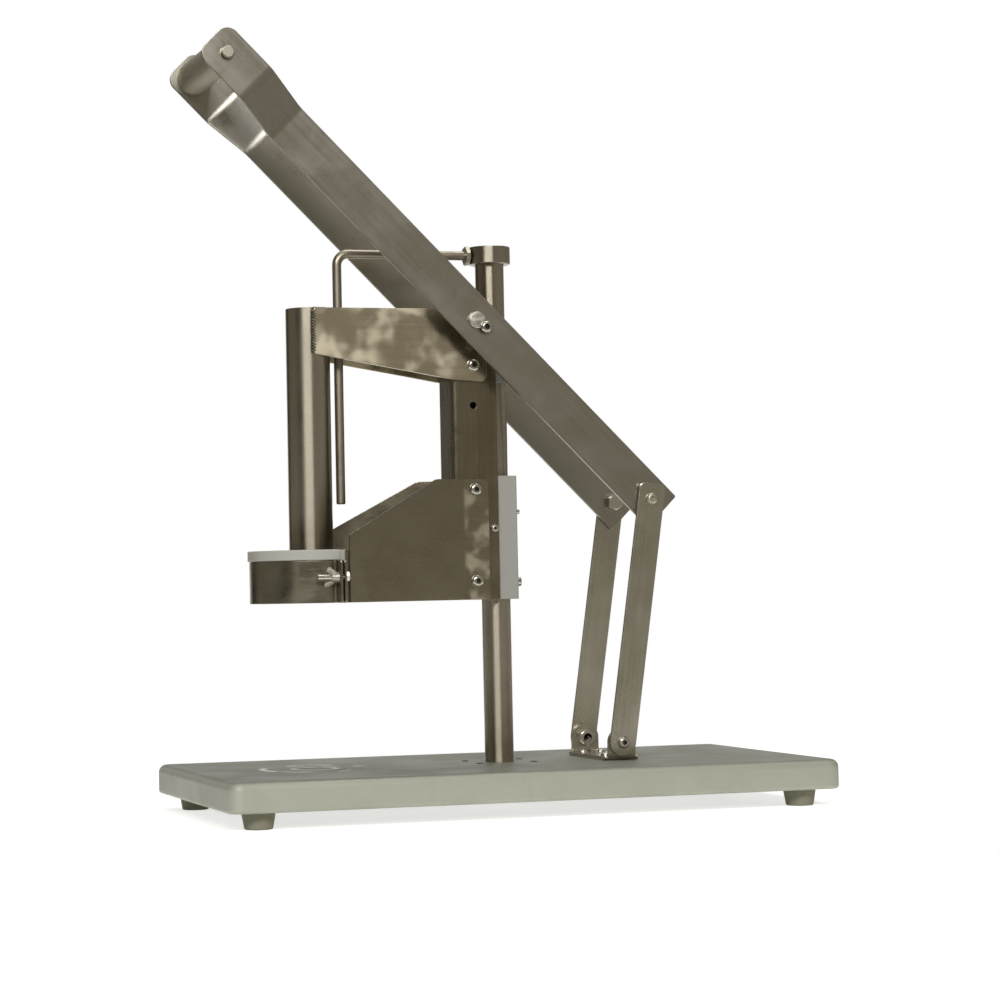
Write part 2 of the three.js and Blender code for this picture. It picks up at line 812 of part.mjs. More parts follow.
function buildCoreTube(group) {
  const inner = coreRadius - coreWall;
  const low = carriageBottom + seatGap;
  const top = carriageBottom + coreHeight + seatGap;
  const tube = turned([
    [inner, low],
    [coreRadius, low + coreEdge],
    [coreRadius, top],
    [inner, top],
    [inner, low],
  ], roundSides).translate(cutterX, 0, 0);
  addPiece(group, "core_tube", tube, "postSteel");
}

// Tabs that stand out of a half band at the split, on both sides of the ring
function bandTabs(x0, x1) {
  return sides.map(([side]) => {
    const root = side * (ringRadius - bandThickness);
    const tip = side * (ringRadius + tabReach);
    return box(x0, x1, Math.min(root, tip), Math.max(root, tip), carriageBottom, carriageBottom + frontBandHeight);
  });
}

function buildRing(group) {
  const low = carriageBottom;
  const far = 2 * ringRadius;
  const inner = ringRadius - bandThickness;
  const clampY = ringRadius + tabReach / 2;
  const clampZ = low + clampHeight;
  const holes = sides.map(([side]) => (
    bar("x", clampRadius + seatGap, splitX - far, splitX + far, [0, side * clampY, clampZ])));
  const rearX = splitX + tabGap / 2;
  const frontX = splitX - tabGap / 2;
  const rear = cut(
    join(
      cut(
        ringSolid(ringRadius, inner, low, ringTop, ringSides).translate(cutterX, 0, 0),
        box(cutterX - far, rearX, -far, far, low - cutOverrun, ringTop + cutOverrun),
      ),
      ...bandTabs(rearX, rearX + tabThickness),
    ),
    bar("z", inner, low - cutOverrun, ringTop + cutOverrun, [cutterX, 0, 0], ringSides),
    ...holes,
  );
  addPiece(group, "ring_band_rear", rear, "polishedSteel");
  const front = cut(
    join(
      cut(
        ringSolid(ringRadius, inner, low, low + frontBandHeight, ringSides).translate(cutterX, 0, 0),
        box(frontX, cutterX + far, -far, far, low - cutOverrun, ringTop + cutOverrun),
      ),
      ...bandTabs(frontX - tabThickness, frontX),
    ),
    bar("z", inner, low - cutOverrun, ringTop + cutOverrun, [cutterX, 0, 0], ringSides),
    ...holes,
  );
  addPiece(group, "ring_band_front", front, "brushedSteel");
  buildHolder(group, inner, frontX);
  buildClamps(group, clampY, clampZ, frontX, rearX);
}

function buildHolder(group, bandInner, frontX) {
  const low = carriageBottom;
  const outer = bandInner - seatGap;
  const inner = outer - holderWall;
  const lipLow = low + frontBandHeight + seatGap;
  const lip = cut(
    ringSolid(ringRadius + holderLip, inner, lipLow, ringTop, ringSides).translate(cutterX, 0, 0),
    box(frontX, cutterX + 2 * ringRadius, -2 * ringRadius, 2 * ringRadius, low, ringTop + cutOverrun),
  );
  const holder = join(ringSolid(outer, inner, low, ringTop - seatGap, ringSides).translate(cutterX, 0, 0), lip);
  addPiece(group, "blade_holder", holder, "whitePlastic");
  const bladeOuter = inner - seatGap;
  const bladeInner = bladeOuter - bladeThickness;
  const blade = turned([
    [bladeInner, low],
    [bladeOuter, low + bladeEdge],
    [bladeOuter, ringTop - bladeRecess],
    [bladeInner, ringTop - bladeRecess],
    [bladeInner, low],
  ], ringSides).translate(cutterX, 0, 0);
  addPiece(group, "peeling_blade", blade, "bladeSteel");
}

function wingNut() {
  const wing = box(
    -wingSpan / 2, wingSpan / 2, -wingThickness / 2, wingThickness / 2, wingRise, wingRise + wingHeight);
  const notch = disc(wingHubRadius, wingHubLength, wingHubLength + wingSpan);
  const body = join(disc(wingHubRadius, 0, wingHubLength), cut(wing, notch));
  return cut(body, disc(clampRadius + seatGap, -cutOverrun, wingHubLength + wingSpan));
}

function buildClamps(group, clampY, clampZ, frontX, rearX) {
  const headSeat = rearX + tabThickness;
  sides.forEach(([side, name]) => {
    const bolt = join(
      hexagon(clampHeadFlats, 0, clampHeadHeight),
      disc(clampRadius, -clampBoltReach, 0, smallSides),
    );
    addPiece(group, `clamp_bolt_${name}`,
      placed(bolt, "+x", [headSeat, side * clampY, clampZ]), "chrome");
    const tilted = geometryOf(wingNut()).rotateZ(THREE.MathUtils.degToRad(wingTilt) * side);
    addPiece(group, `wing_nut_${name}`,
      aim(tilted, "-x").translate(frontX - tabThickness, side * clampY, clampZ), "chrome");
  });
}

function buildPivot(group) {
  const bore = pivotRadius + seatGap;
  const seat = leverHalfSpread + runGap;
  const nutTop = seat + pivotNutHeight;
  const nut = cut(
    turned([
      [0, seat],
      [pivotNutRadius, seat],
      [pivotNutRadius, seat + pivotNutFlange],
      [pivotNutRadius * domeTopShare, nutTop],
      [0, nutTop],
    ], roundSides / 2),
    disc(bore, seat - cutOverrun, nutTop + cutOverrun),
  );
  sides.forEach(([side, name]) => {
    const spacer = ringSolid(pivotSpacerRadius, bore, plateOuter, leverInner - runGap, boltSides);
    addPiece(group, `pivot_spacer_${name}`,
      aim(spacer, outward(side)).translate(pivotX, 0, pivotZ), "brushedSteel");
    addPiece(group, `pivot_nut_${name}`, placed(nut, outward(side), [pivotX, 0, pivotZ]), "chrome");
  });
  const bolt = domedScrew(
    pivotHeadRadius, pivotHeadHeight, pivotRadius, 2 * nutTop + pivotHeadHeight / 2,
    pivotSocketFlats, pivotSocketDepth);
  addPiece(group, "pivot_bolt", placed(bolt, "-y", [pivotX, -nutTop, pivotZ]), "chrome");
}

// Lever, drawn along its own bars: x from grip to tail, z across the width, pivot at the origin

// Plan of one bar between its two faces, seen along the width
function leverPlan(side) {
  const outer = leverHalfSpread;
  const slant = Math.atan2(joggleSpread, joggleLength);
  const shift = leverThickness * Math.tan(slant / 2);
  const far = -gripReach - gripEnd;
  const points = [
    [leverArm + leverTail, outer - leverThickness],
    [leverArm + leverTail, outer],
    [-joggleReach, outer],
    [-joggleReach - joggleLength, outer + joggleSpread],
    [far, outer + joggleSpread],
    [far, outer + joggleSpread - leverThickness],
    [-joggleReach - joggleLength - shift, outer + joggleSpread - leverThickness],
    [-joggleReach - shift, outer - leverThickness],
  ].map(([x, y]) => [x, side * y, 0]);
  return side < 0 ? points.reverse() : points;
}

function leverBar(side) {
  const half = leverWidth / 2;
  const left = -gripReach - gripEnd;
  const right = leverArm + leverTail;
  const bent = raised(leverPlan(side), -half, half);
  const face = sidePlate(
    [
      [left, -half, leverEarCorner],
      [right, -half, leverTailCorner],
      [right, half, leverTailCorner],
      [left, half, leverEarCorner],
    ],
    0, leverHalfSpread + joggleSpread + cutOverrun, side,
  );
  const hole = (radius, x) => bar("y", radius, -panWidth / 2, panWidth / 2, [x, 0, 0]);
  return cut(
    overlapOf(bent, face),
    hole(pivotRadius + runGap, 0),
    hole(linkPinRadius + seatGap, leverArm),
    hole(gripBoltRadius + seatGap, -gripReach),
  );
}

function buildLever(group) {
  sides.forEach(([side, name]) => {
    addPiece(group, `lever_bar_${name}`, leverBar(side), "brushedSteel");
  });
}

function buildGrip(group) {
  const earOuter = leverHalfSpread + joggleSpread;
  const earInner = earOuter - leverThickness;
  const tube = ringSolid(gripRadius, gripRadius - gripWall, seatGap - earInner, earInner - seatGap, roundSides);
  addPiece(group, "grip_tube", aim(tube, "+y").translate(-gripReach, 0, 0), "polishedSteel");
  const head = earOuter + seatGap;
  const bolt = join(
    hexagon(gripBoltHeadFlats, head, head + gripBoltHeadHeight),
    disc(gripBoltRadius, -head - gripBoltHeadHeight - seatGap, head + seatGap),
  );
  addPiece(group, "grip_bolt", placed(bolt, "-y", [-gripReach, 0, 0]), "chrome");
  const nut = cut(
    hexagon(gripBoltHeadFlats, head, head + gripBoltHeadHeight),
    disc(gripBoltRadius + seatGap, head - cutOverrun, head + gripBoltHeadHeight + cutOverrun),
  );
  addPiece(group, "grip_nut", placed(nut, "+y", [-gripReach, 0, 0]), "chrome");
}

// Studs in the lever's tail: they stop just inside the links, where the linkage is opened
function buildTailStuds(group) {
  const washerOuter = linkInner - runGap;
  const washerInner = leverHalfSpread + seatGap;
  const nutOuter = leverInner - seatGap;
  const stud = join(
    disc(linkPinRadius, nutOuter - linkNutHeight - seatGap, washerOuter),
    disc(linkWasherRadius, washerInner, washerOuter),
    hexagon(linkNutFlats, nutOuter - linkNutHeight, nutOuter),
  );
  sides.forEach(([side, name]) => {
    addPiece(group, `tail_stud_${name}`, placed(stud, outward(side), [leverArm, 0, 0]), "chrome");
  });
}

// Links, drawn upright with the lower pivot at the origin
function buildLinks(group) {
  const half = linkWidth / 2;
  sides.forEach(([side, name]) => {
    const low = Math.min(side * linkInner, side * linkHalfSpread);
    const high = Math.max(side * linkInner, side * linkHalfSpread);
    const blade = sidePlate(
      [
        [-half, 0, 0],
        [half, 0, 0],
        [half, linkLength + linkTopEnd, linkTopCorner],
        [-half, linkLength + linkTopEnd, linkTopCorner],
      ],
      linkInner, linkHalfSpread, side,
    );
    const foot = bar("y", half, low, high, [0, 0, 0], roundSides);
    const hole = (z) => bar("y", linkPinRadius + runGap, -panWidth / 2, panWidth / 2, [0, 0, z]);
    addPiece(group, `link_${name}`, cut(join(blade, foot), hole(0), hole(linkLength)), "brushedSteel");
    const bolt = domedScrew(
      linkHeadRadius, linkHeadHeight, linkPinRadius, linkThickness + seatGap, linkSocketFlats, linkSocketDepth);
    addPiece(group, `link_top_bolt_${name}`,
      placed(bolt, outward(side), [0, side * (linkHalfSpread + seatGap), linkLength]), "chrome");
  });
}

function buildStand() {
  const group = new THREE.Group();
  buildPan(group);
  buildFeet(group);
  buildPost(group);
  buildCollar(group);
  buildEjector(group);
  buildClevis(group);
  return group;
}

function buildCarriage() {
  const group = new THREE.Group();
  buildChannel(group);
  buildGuideBlocks(group);
  buildUpperBracket(group);
  buildLowerBracket(group);
  buildBracketScrews(group);
  buildCoreTube(group);
  buildRing(group);
  buildPivot(group);
  return group;
}

function buildLeverArm() {
  const group = new THREE.Group();
  buildLever(group);
  buildGrip(group);
  buildTailStuds(group);
  group.position.set(pivotX, 0, pivotZ);
  group.rotation.y = leverTurn;
  return group;
}

function buildLinkPair() {
  const group = new THREE.Group();
  buildLinks(group);
  group.position.set(clevisX, 0, clevisZ);
  group.rotation.y = linkTurn;
  return group;
}

const corer = new THREE.Group();
corer.add(buildStand(), buildCarriage(), buildLeverArm(), buildLinkPair());

export default corer;
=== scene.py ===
"""Finished looks of a bench-top pineapple peeler and corer, built on its CAD model.

Metres, +Z up, in the CAD model's frame: X runs from the cutter to the links, -Y is the near side.
"""

import bisect
import json
import math

import bmesh
import bpy
from bpy.props import FloatProperty, FloatVectorProperty, IntProperty, PointerProperty
from mathutils import Matrix, Vector


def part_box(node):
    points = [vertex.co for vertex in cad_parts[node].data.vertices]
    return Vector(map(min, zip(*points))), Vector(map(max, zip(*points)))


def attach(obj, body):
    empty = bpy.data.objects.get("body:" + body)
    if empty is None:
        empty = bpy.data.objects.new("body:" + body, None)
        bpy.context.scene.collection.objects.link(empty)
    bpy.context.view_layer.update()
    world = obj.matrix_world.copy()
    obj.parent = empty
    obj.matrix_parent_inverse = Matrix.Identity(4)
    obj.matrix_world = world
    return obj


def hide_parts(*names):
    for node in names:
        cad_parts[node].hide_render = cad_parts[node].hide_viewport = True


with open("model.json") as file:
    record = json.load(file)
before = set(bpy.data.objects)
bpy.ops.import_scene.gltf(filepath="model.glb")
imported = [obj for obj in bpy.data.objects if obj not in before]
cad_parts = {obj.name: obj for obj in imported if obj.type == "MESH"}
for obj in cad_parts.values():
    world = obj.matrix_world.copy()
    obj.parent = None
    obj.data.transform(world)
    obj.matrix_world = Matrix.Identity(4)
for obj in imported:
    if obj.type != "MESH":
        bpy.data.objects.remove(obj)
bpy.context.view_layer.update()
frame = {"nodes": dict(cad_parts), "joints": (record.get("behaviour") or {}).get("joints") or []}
joints = {joint["name"]: Vector(joint["pos_m"]) for joint in frame["joints"]
          if "pos_m" in joint}

bl_info = {
    "name": "Pineapple peeler corer",
    "version": (1, 0, 0),
    "blender": (4, 5, 0),
    "location": "3D View > Sidebar > Corer",
    "description": "Builds the finished pieces of a pineapple peeler and corer",
    "category": "Object",
}

MM = 0.001
QUARTER = math.pi / 2
SIDES = ((-1, "near"), (1, "far"))

ARC_STEP = math.radians(9)
EASE_STEPS = 2
FOLD_STEPS = 8
SMOOTH_ANGLE = math.radians(32)
SAME_PLACE = 1e-7

SHEET = 3.2 * MM
M5, M5_HOLE = 2.5 * MM, 2.8 * MM
M8, M8_HOLE = 4 * MM, 4.2 * MM
PIVOT_HOLE = 5.1 * MM


def mm(*values):
    """Millimetres in metres."""
    return [value * MM for value in values]


def linear(code):
    """A colour written as six hexadecimal digits, in the linear values that shaders take."""
    parts = [int(code[i:i + 2], 16) / 255 for i in (0, 2, 4)]
    return tuple(v / 12.92 if v <= 0.04045 else ((v + 0.055) / 1.055) ** 2.4 for v in parts)


def length(name, description, millimetres):
    return FloatProperty(name=name, description=description, default=millimetres * MM, min=0,
                         unit="LENGTH", precision=5)


def angle(name, description, degrees):
    return FloatProperty(name=name, description=description, default=math.radians(degrees),
                         subtype="ANGLE", unit="ROTATION")


def number(name, description, default, low=0.0, high=1.0):
    return FloatProperty(name=name, description=description, default=default, min=low, max=high)


def tone(name, description, code):
    return FloatVectorProperty(name=name, description=description, default=linear(code),
                               subtype="COLOR", size=3, min=0, max=1)


# Sizes and colours that a user would change


class CorerBase(bpy.types.PropertyGroup):
    mouth: length("Mouth corner", "Rounding of the flange mouth's mitred corners", 2)
    wall: length("Wall", "Thickness of the base's sheet", 2)
    corner: length("Corner radius", "Rounding of the base's upright corners", 12)
    top_bend: length("Top bend", "Outer radius of the fold along the top edges", 7)
    low_bend: length("Lower bend", "Outer radius of the fold above the turned-in flange", 3)
    flange: length("Flange", "Width of the turned-in flange under the base", 44)
    post_hole: length("Post hole", "Radius of the hole round the guide post", 13)
    screw_hole: length("Screw hole", "Radius of the holes for the clevis screws", 2.8)
    foot_groove: length("Foot groove", "Depth of the moulded groove near a foot's top", 0.5)
    plate_screw: length("Plate screw", "Head radius of the screws round the post", 3.6)


class CorerSheet(bpy.types.PropertyGroup):
    ease: length("Edge rounding", "Rounding of the edges of the cut sheets", 0.4)
    link_ease: length("Link edge rounding", "Rounding of the links' edges", 1)
    joggle_bend: length("Joggle bend", "Radius of the lever's bends, at the bar's middle", 19)
    lever_angle: angle("Lever slope", "Slope of the hand lever at rest", 44.9)
    lever_width: length("Lever width", "Width of the lever's flat bars", 38.1)
    grip_reach: length("Grip reach", "From the lever's pivot to the grip's axis", 314.5)
    link_lean: angle("Link slope", "Lean of the links at rest", 8.5)
    link_length: length("Link length", "Between the two holes of a link", 214.3)
    link_width: length("Link width", "Width of the links", 24.2)


class CorerCutter(bpy.types.PropertyGroup):
    tube_wall: length("Core tube wall", "Wall of the core tube", 1.6)
    ring_radius: length("Ring radius", "Outer radius of the ring's bands", 53.7)
    band: length("Band thickness", "Thickness of the ring's bands", 2)
    lip: length("Holder lip", "How far the holder's lip stands out over the front band", 1.4)
    bead: length("Weld bead", "Half width of the weld beads", 2.4)
    bead_step: length("Weld ripple", "Distance between two ripples of a weld bead", 2.3)
    seed: IntProperty(name="Weld seed", description="Seed of the weld's unevenness", default=7,
                      min=0)


class CorerHardware(bpy.types.PropertyGroup):
    button_head: length("Button head", "Head radius of the bracket screws", 5.6)
    button_height: length("Button height", "Head height of the bracket screws", 3.4)
    button_socket: length("Button socket", "Width of the bracket screws' hexagon socket", 4)
    dome_share: number("Dome share", "Flat part of a button head, as a share of its radius", 0.5)
    nut_chamfer: number("Nut chamfer", "Round face of a nut, as a share of its width", 0.93)
    wing_tilt: angle("Wing tilt", "Turn of the wing nuts about their bolts", 34)
    rod: length("Ejector rod", "Radius of the ejector rod", 4)
    rod_bend: length("Rod bend", "Radius of the ejector rod's bend", 10)


class CorerFinish(bpy.types.PropertyGroup):
    lever: tone("Lever steel", "Brushed flat bars of the lever", "aca89e")
    link: tone("Link steel", "Brushed links", "bbb7a8")
    plate: tone("Plate steel", "Polished bracket plates", "cac2ac")
    channel: tone("Channel steel", "Polished channel", "877f6c")
    arm: tone("Arm steel", "Polished flared arms", "958e7b")
    ring: tone("Ring steel", "Polished bands of the cutter ring", "989282")
    bar: tone("Bar steel", "Ground post, core tube and rod", "a59d8d")
    bright: tone("Bright steel", "Screws and nuts", "cfccc2")
    grip: tone("Grip steel", "Dark polished grip tube", "c4beab")
    pan: tone("Base steel", "Satin sheet of the base", "b9b9aa")
    plastic: tone("Plastic", "Guide blocks", "b6b4a9")
    holder: tone("Holder plastic", "Holder ring of the blade", "c9c7ba")
    blade: tone("Blade steel", "Ground peeling blade", "a9a79e")
    rubber: tone("Rubber", "Feet", "98957f")
    weld: tone("Weld", "Weld beads", "857f70")
    roughness: number("Steel roughness", "Roughness of the brushed steel", 0.27)
    grain: length("Grain depth", "Depth of the brushed lines", 0.002)
    wave: length("Polish wave", "Depth of the polished plates' waves", 0.16)


class CorerStage(bpy.types.PropertyGroup):
    lens: FloatProperty(name="Lens", description="Focal length, in millimetres", default=101.1)
    azimuth: angle("Azimuth", "Direction of the view, from +Y towards +X", 17)
    pitch: angle("Pitch", "Rise of the view", 3)
    roll: angle("Roll", "Turn of the camera about its view", -1.1)
    place: FloatVectorProperty(name="Camera place", description="Place of the camera",
                               default=(-0.7956, -2.3424, 0.1956), subtype="XYZ")
    ambient: number("Ambient light", "Light that comes from all round", 0.13, 0, 4)
    room: number("Room reflections", "Brightness of the room that metal shows", 1.0, 0, 4)
    key: number("Key lamp", "Power of the lamp above the camera, in watts", 108.0, 0, 500)
    top: number("Top lamp", "Power of the lamp above, in watts", 25.0, 0, 500)
    floor: tone("Floor", "Colour of the floor", "e9e9e7")


# Outlines and meshes


def fillet(here, back, ahead, radius):
    """The arc that rounds one corner; back and ahead lead away from it along its sides."""
    half = math.acos(max(-1.0, min(1.0, back.dot(ahead)))) / 2
    if radius <= 0 or half > QUARTER - 1e-4:
        return [here]
    centre = here + (back + ahead).normalized() * (radius / math.sin(half))
    start = here + back * (radius / math.tan(half)) - centre
    turn = (math.pi - 2 * half) * (-1 if back.cross(ahead) > 0 else 1)
    steps = max(2, math.ceil(abs(turn) / ARC_STEP))
    return [centre + Matrix.Rotation(turn * k / steps, 2) @ start for k in range(steps + 1)]


def rounded(corners, closed=True):
    """A line through corners, each x, y and its radius; an open one keeps its ends sharp."""
    points = []
    for i, (x, y, radius) in enumerate(corners):
        here = Vector((x, y))
        if not closed and i in (0, len(corners) - 1):
            points.append(here)
            continue
        back = (Vector(corners[i - 1][:2]) - here).normalized()
        ahead = (Vector(corners[(i + 1) % len(corners)][:2]) - here).normalized()
        points += fillet(here, back, ahead, radius)
    return points


def line(*corners):
    return rounded(corners, closed=False)


def panel(left, low, right, high, radius):
    """A rectangle with rounded corners."""
    return rounded([(left, low, radius), (right, low, radius), (right, high, radius),
                    (left, high, radius)])


def mirrored(half, x=1, y=-1):
    """Corners and, going back, their mirror image."""
    return [*half, *[(x * a, y * b, radius) for a, b, radius in reversed(half)]]


def circle(x, y, radius, sides=28):
    """A round hole's outline, which runs the other way round than a plate's."""
    return [Vector((x + radius * math.cos(a), y - radius * math.sin(a)))
            for a in (math.tau * k / sides for k in range(sides))]


def shifted(loop, inset):
    """A closed outline moved to its left by a distance."""
    points = []
    for i, here in enumerate(loop):
        a = (here - loop[i - 1]).normalized()
        b = (loop[(i + 1) % len(loop)] - here).normalized()
        normal = Vector((-a.y - b.y, a.x + b.x))
        points.append(here + normal * (inset / (1 + a.dot(b))))
    return points


def skin(bm, low, high, closed=True):
    """Faces between two rows of vertices, either of which may be a single pole."""
    for i in range(max(len(low), len(high)) - (not closed)):
        corners = (low[i % len(low)], low[(i + 1) % len(low)], high[(i + 1) % len(high)],
                   high[i % len(high)])
        unique = list(dict.fromkeys(corners))
        if len(unique) > 2:
            bm.faces.new(unique)


def cap(bm, loops):
    """Flat faces inside the first ring of vertices and outside the others."""
    edges = [bm.edges.get((ring[i - 1], ring[i])) or bm.edges.new((ring[i - 1], ring[i]))
             for ring in loops for i in range(len(ring))]
    return bmesh.ops.triangle_fill(bm, use_beauty=True, edges=edges)["geom"]


def blank(outline, holes, thickness, ease):
    """A flat plate with eased edges: it lies in X-Y, with its middle at Z = 0."""
    bm = bmesh.new()
    turns = [QUARTER * k / EASE_STEPS for k in range(EASE_STEPS + 1)]
    upper = [(ease * (1 - math.cos(a)), thickness / 2 - ease + ease * math.sin(a)) for a in turns]
    levels = [(inset, -z) for inset, z in reversed(upper)] + upper
    ends = ([], [])
    for loop in (outline, *holes):
        rings = [[bm.verts.new((p.x, p.y, z)) for p in shifted(loop, inset)]
                 for inset, z in levels]
        for low, high in zip(rings, rings[1:]):
            skin(bm, low, high)
        ends[0].append(rings[0])
        ends[1].append(rings[-1])
    for loops in ends:
        cap(bm, loops)
    return bm


def bent(bm, route, place):
    """Bends a plate along a route: its X runs along the route, its Z stands off it to the left.

    place takes the route's x and y and the plate's own Y, and gives the point in the model."""
    along = [0.0]
    for a, b in zip(route, route[1:]):
        along.append(along[-1] + (b - a).length)
    for at in along[1:-1]:
        bmesh.ops.bisect_plane(bm, geom=bm.verts[:] + bm.edges[:] + bm.faces[:], dist=SAME_PLACE,
                               plane_co=(at, 0, 0), plane_no=(1, 0, 0))
    ways = [(b - a).normalized() for a, b in zip(route, route[1:])]
    mitres = [Vector((-a.y - b.y, a.x + b.x)) / (1 + a.dot(b))
              for a, b in zip([ways[0], *ways], [*ways, ways[-1]])]
    for vert in bm.verts:
        i = min(max(bisect.bisect_right(along, vert.co.x) - 1, 0), len(ways) - 1)
        share = (vert.co.x - along[i]) / (along[i + 1] - along[i])
        off = mitres[i].lerp(mitres[i + 1], share) * vert.co.z
        flat = route[i].lerp(route[i + 1], share) + off
        vert.co = place(flat.x, flat.y, vert.co.y)
    return bm


def folded(outline, holes, thickness, route, place):
    """A plate, cut flat with eased edges and then bent along a route."""
    ease = bpy.context.scene.corer_sheet.ease
    return bent(blank(outline, holes, thickness, ease), route, place)


def route_length(route):
    return sum((b - a).length for a, b in zip(route, route[1:]))


def turned(profile, sides, start=0.0, sweep=math.tau):
    """A solid turned about Z from radii and heights, which run from pole to pole or close."""
    bm = bmesh.new()
    whole = sweep >= math.tau
    closed = (profile[0] - profile[-1]).length < SAME_PLACE / 100
    turns = [start + sweep * k / sides for k in range(sides if whole else sides + 1)]
    rings = []
    for radius, z in profile[:-1] if closed else profile:
        at = turns if radius >= SAME_PLACE / 100 else [0.0]
        rings.append([bm.verts.new((radius * math.cos(a), radius * math.sin(a), z)) for a in at])
    pairs = list(zip(rings, rings[1:]))
    if closed:
        pairs.append((rings[-1], rings[0]))
    for low, high in pairs:
        skin(bm, low, high, whole)
    if not whole:
        bm.faces.new([ring[0] for ring in rings])
        bm.faces.new([ring[-1] for ring in rings])
    return bm


def ring_profile(*corners):
    loop = rounded(corners)
    return [*loop, loop[0]]


def tube_profile(inner, outer, low, high, ease):
    """The profile of a plain ring with eased edges."""
    return ring_profile((outer, low, ease), (outer, high, ease), (inner, high, ease),
                        (inner, low, ease))


def headed_pin(reach, radius, head, rim, ease, crown, sides):
    """A round pin through the seat at Z = 0, with a round head over the seat."""
    return turned(line((0, reach, 0), (radius, reach, 0), (radius, 0, 0), (head, 0, 0.2 * MM),
                       (head, rim, ease), (0, crown, 0)), sides)


def aimed(direction, place):
    """The turn and shift that take +Z at the origin to a direction at a place."""
    turn = Vector(direction).to_track_quat("Z", "Y").to_matrix().to_4x4()
    return Matrix.Translation(place) @ turn


def upright(y):
    """Stands a plate that was drawn in X-Y up in the X-Z plane at a given Y."""
    return Matrix.Translation((0, y, 0)) @ Matrix.Rotation(QUARTER, 4, "X")


def on_axis(node):
    """The shift from the origin to a node's upright axis."""
    return Matrix.Translation((*middle(node).xy, 0))


def moved(bm, matrix):
    bmesh.ops.transform(bm, matrix=matrix, verts=bm.verts)
    return bm


def mesh_of(bm, name):
    mesh = bpy.data.meshes.new(name)
    bm.to_mesh(mesh)
    bm.free()
    return mesh


def merged(*parts):
    """Several meshes as one."""
    whole = bmesh.new()
    for bm in parts:
        bmesh.ops.recalc_face_normals(bm, faces=bm.faces)
        mesh = mesh_of(bm, "part")
        whole.from_mesh(mesh)
        bpy.data.meshes.remove(mesh)
    return whole


def shown(name, data):
    made = bpy.data.objects.new(name, data)
    bpy.context.scene.collection.objects.link(made)
    return made


def baked(source, name):
    """The object's evaluated shape as a plain mesh object; the source goes."""
    depsgraph = bpy.context.evaluated_depsgraph_get()
    mesh = bpy.data.meshes.new_from_object(
        source.evaluated_get(depsgraph), preserve_all_data_layers=True, depsgraph=depsgraph)
    bpy.data.objects.remove(source)
    if not mesh.polygons:
        raise RuntimeError(f"{name} came out empty")
    return shown(name, mesh)


def smoothed(obj, name):
    """Rounds the shading over soft edges and keeps flat faces flat."""
    obj.data.shade_smooth()
    obj.data.set_sharp_from_angle(angle=SMOOTH_ANGLE)
    weighted = obj.modifiers.new("Flat faces", "WEIGHTED_NORMAL")
    weighted.keep_sharp = True
    made = baked(obj, name)
    made.data.name = name
    return made


def solid(name, bm, material, cutters=()):
    """A finished mesh object from closed shells, less the shapes of the cutters."""
    bmesh.ops.remove_doubles(bm, verts=bm.verts, dist=SAME_PLACE)
    bmesh.ops.recalc_face_normals(bm, faces=bm.faces)
    mesh = mesh_of(bm, name)
    mesh.materials.append(material_of(material))
    obj = shown(name + "_rough", mesh)
    for cutter in cutters:
        cut = obj.modifiers.new("Cut", "BOOLEAN")
        cut.object = cutter
        cut.operation = "DIFFERENCE"
        cut.solver = "EXACT"
    if cutters:
        obj = baked(obj, name + "_cut")
    return smoothed(obj, name)


def fitted(obj, body, slot, *nodes):
    """Sets a finished piece on its body, in place of the CAD nodes it stands for."""
    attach(obj, body)
    if nodes:
        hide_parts(*nodes)


def piece(name, bm, material, body, slot, *nodes, cutters=()):
    """Makes a finished piece from closed shells and sets it on its body."""
    fitted(solid(name, bm, material, cutters), body, slot, *nodes)


def leaning(joint, turn):
    """A frame at a joint, turned about Y."""
    return Matrix.Translation(joints[joint]) @ Matrix.Rotation(turn, 4, "Y")


def middle(node):
    low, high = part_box(node)
    return (low + high) / 2


def pair(at, y, way=1, roll=0.0):
    """Places on the near and the far side, level with a point: way 1 faces out, -1 in."""
    return [((at.x, side * y, at.z), (0, side * way, 0), roll) for side, _ in SIDES]


# Node trees


def add(tree, kind, inputs=(), **settings):
    """Adds a node; inputs gives sockets, by name or number, a value or another's output."""
    made = tree.nodes.new(kind)
    for key, value in settings.items():
        setattr(made, key, value)
    for key, value in dict(inputs).items():
        if isinstance(value, bpy.types.NodeSocket):
            tree.links.new(value, made.inputs[key])
        else:
            made.inputs[key].default_value = value
    return made


def math_node(tree, operation, first, second=0.0):
    return add(tree, "ShaderNodeMath", {0: first, 1: second}, operation=operation).outputs[0]


def times(tree, first, second):
    return math_node(tree, "MULTIPLY", first, second)


def plus(tree, first, second):
    return math_node(tree, "ADD", first, second)


def minus(tree, first, second):
    return math_node(tree, "SUBTRACT", first, second)


def node_group(name, kind, inputs, outputs):
    """Turns a function that fills a node tree into one that gives the tree, filled once.

    Inputs and outputs are labels, socket types and, if need be, defaults and subtypes."""
    def wrap(fill):
        def found():
            if name in bpy.data.node_groups:
                return bpy.data.node_groups[name]
            tree = bpy.data.node_groups.new(name, kind)
            for way, sockets in (("INPUT", inputs), ("OUTPUT", outputs)):
                for label, socket, *default in sockets:
                    made = tree.interface.new_socket(label, in_out=way, socket_type=socket)
                    if default:
                        made.default_value = default[0]
                    if len(default) > 1:
                        made.subtype = default[1]
            given = tree.nodes.new("NodeGroupInput").outputs
            fill(tree, given, tree.nodes.new("NodeGroupOutput").inputs)
            return tree
        return found
    return wrap


FLOAT = "NodeSocketFloat"


def geometry_group(name, *inputs):
    shape = ("Geometry", "NodeSocketGeometry")
    return node_group(name, "GeometryNodeTree",
                      [shape, *inputs, ("Material", "NodeSocketMaterial")], [shape])


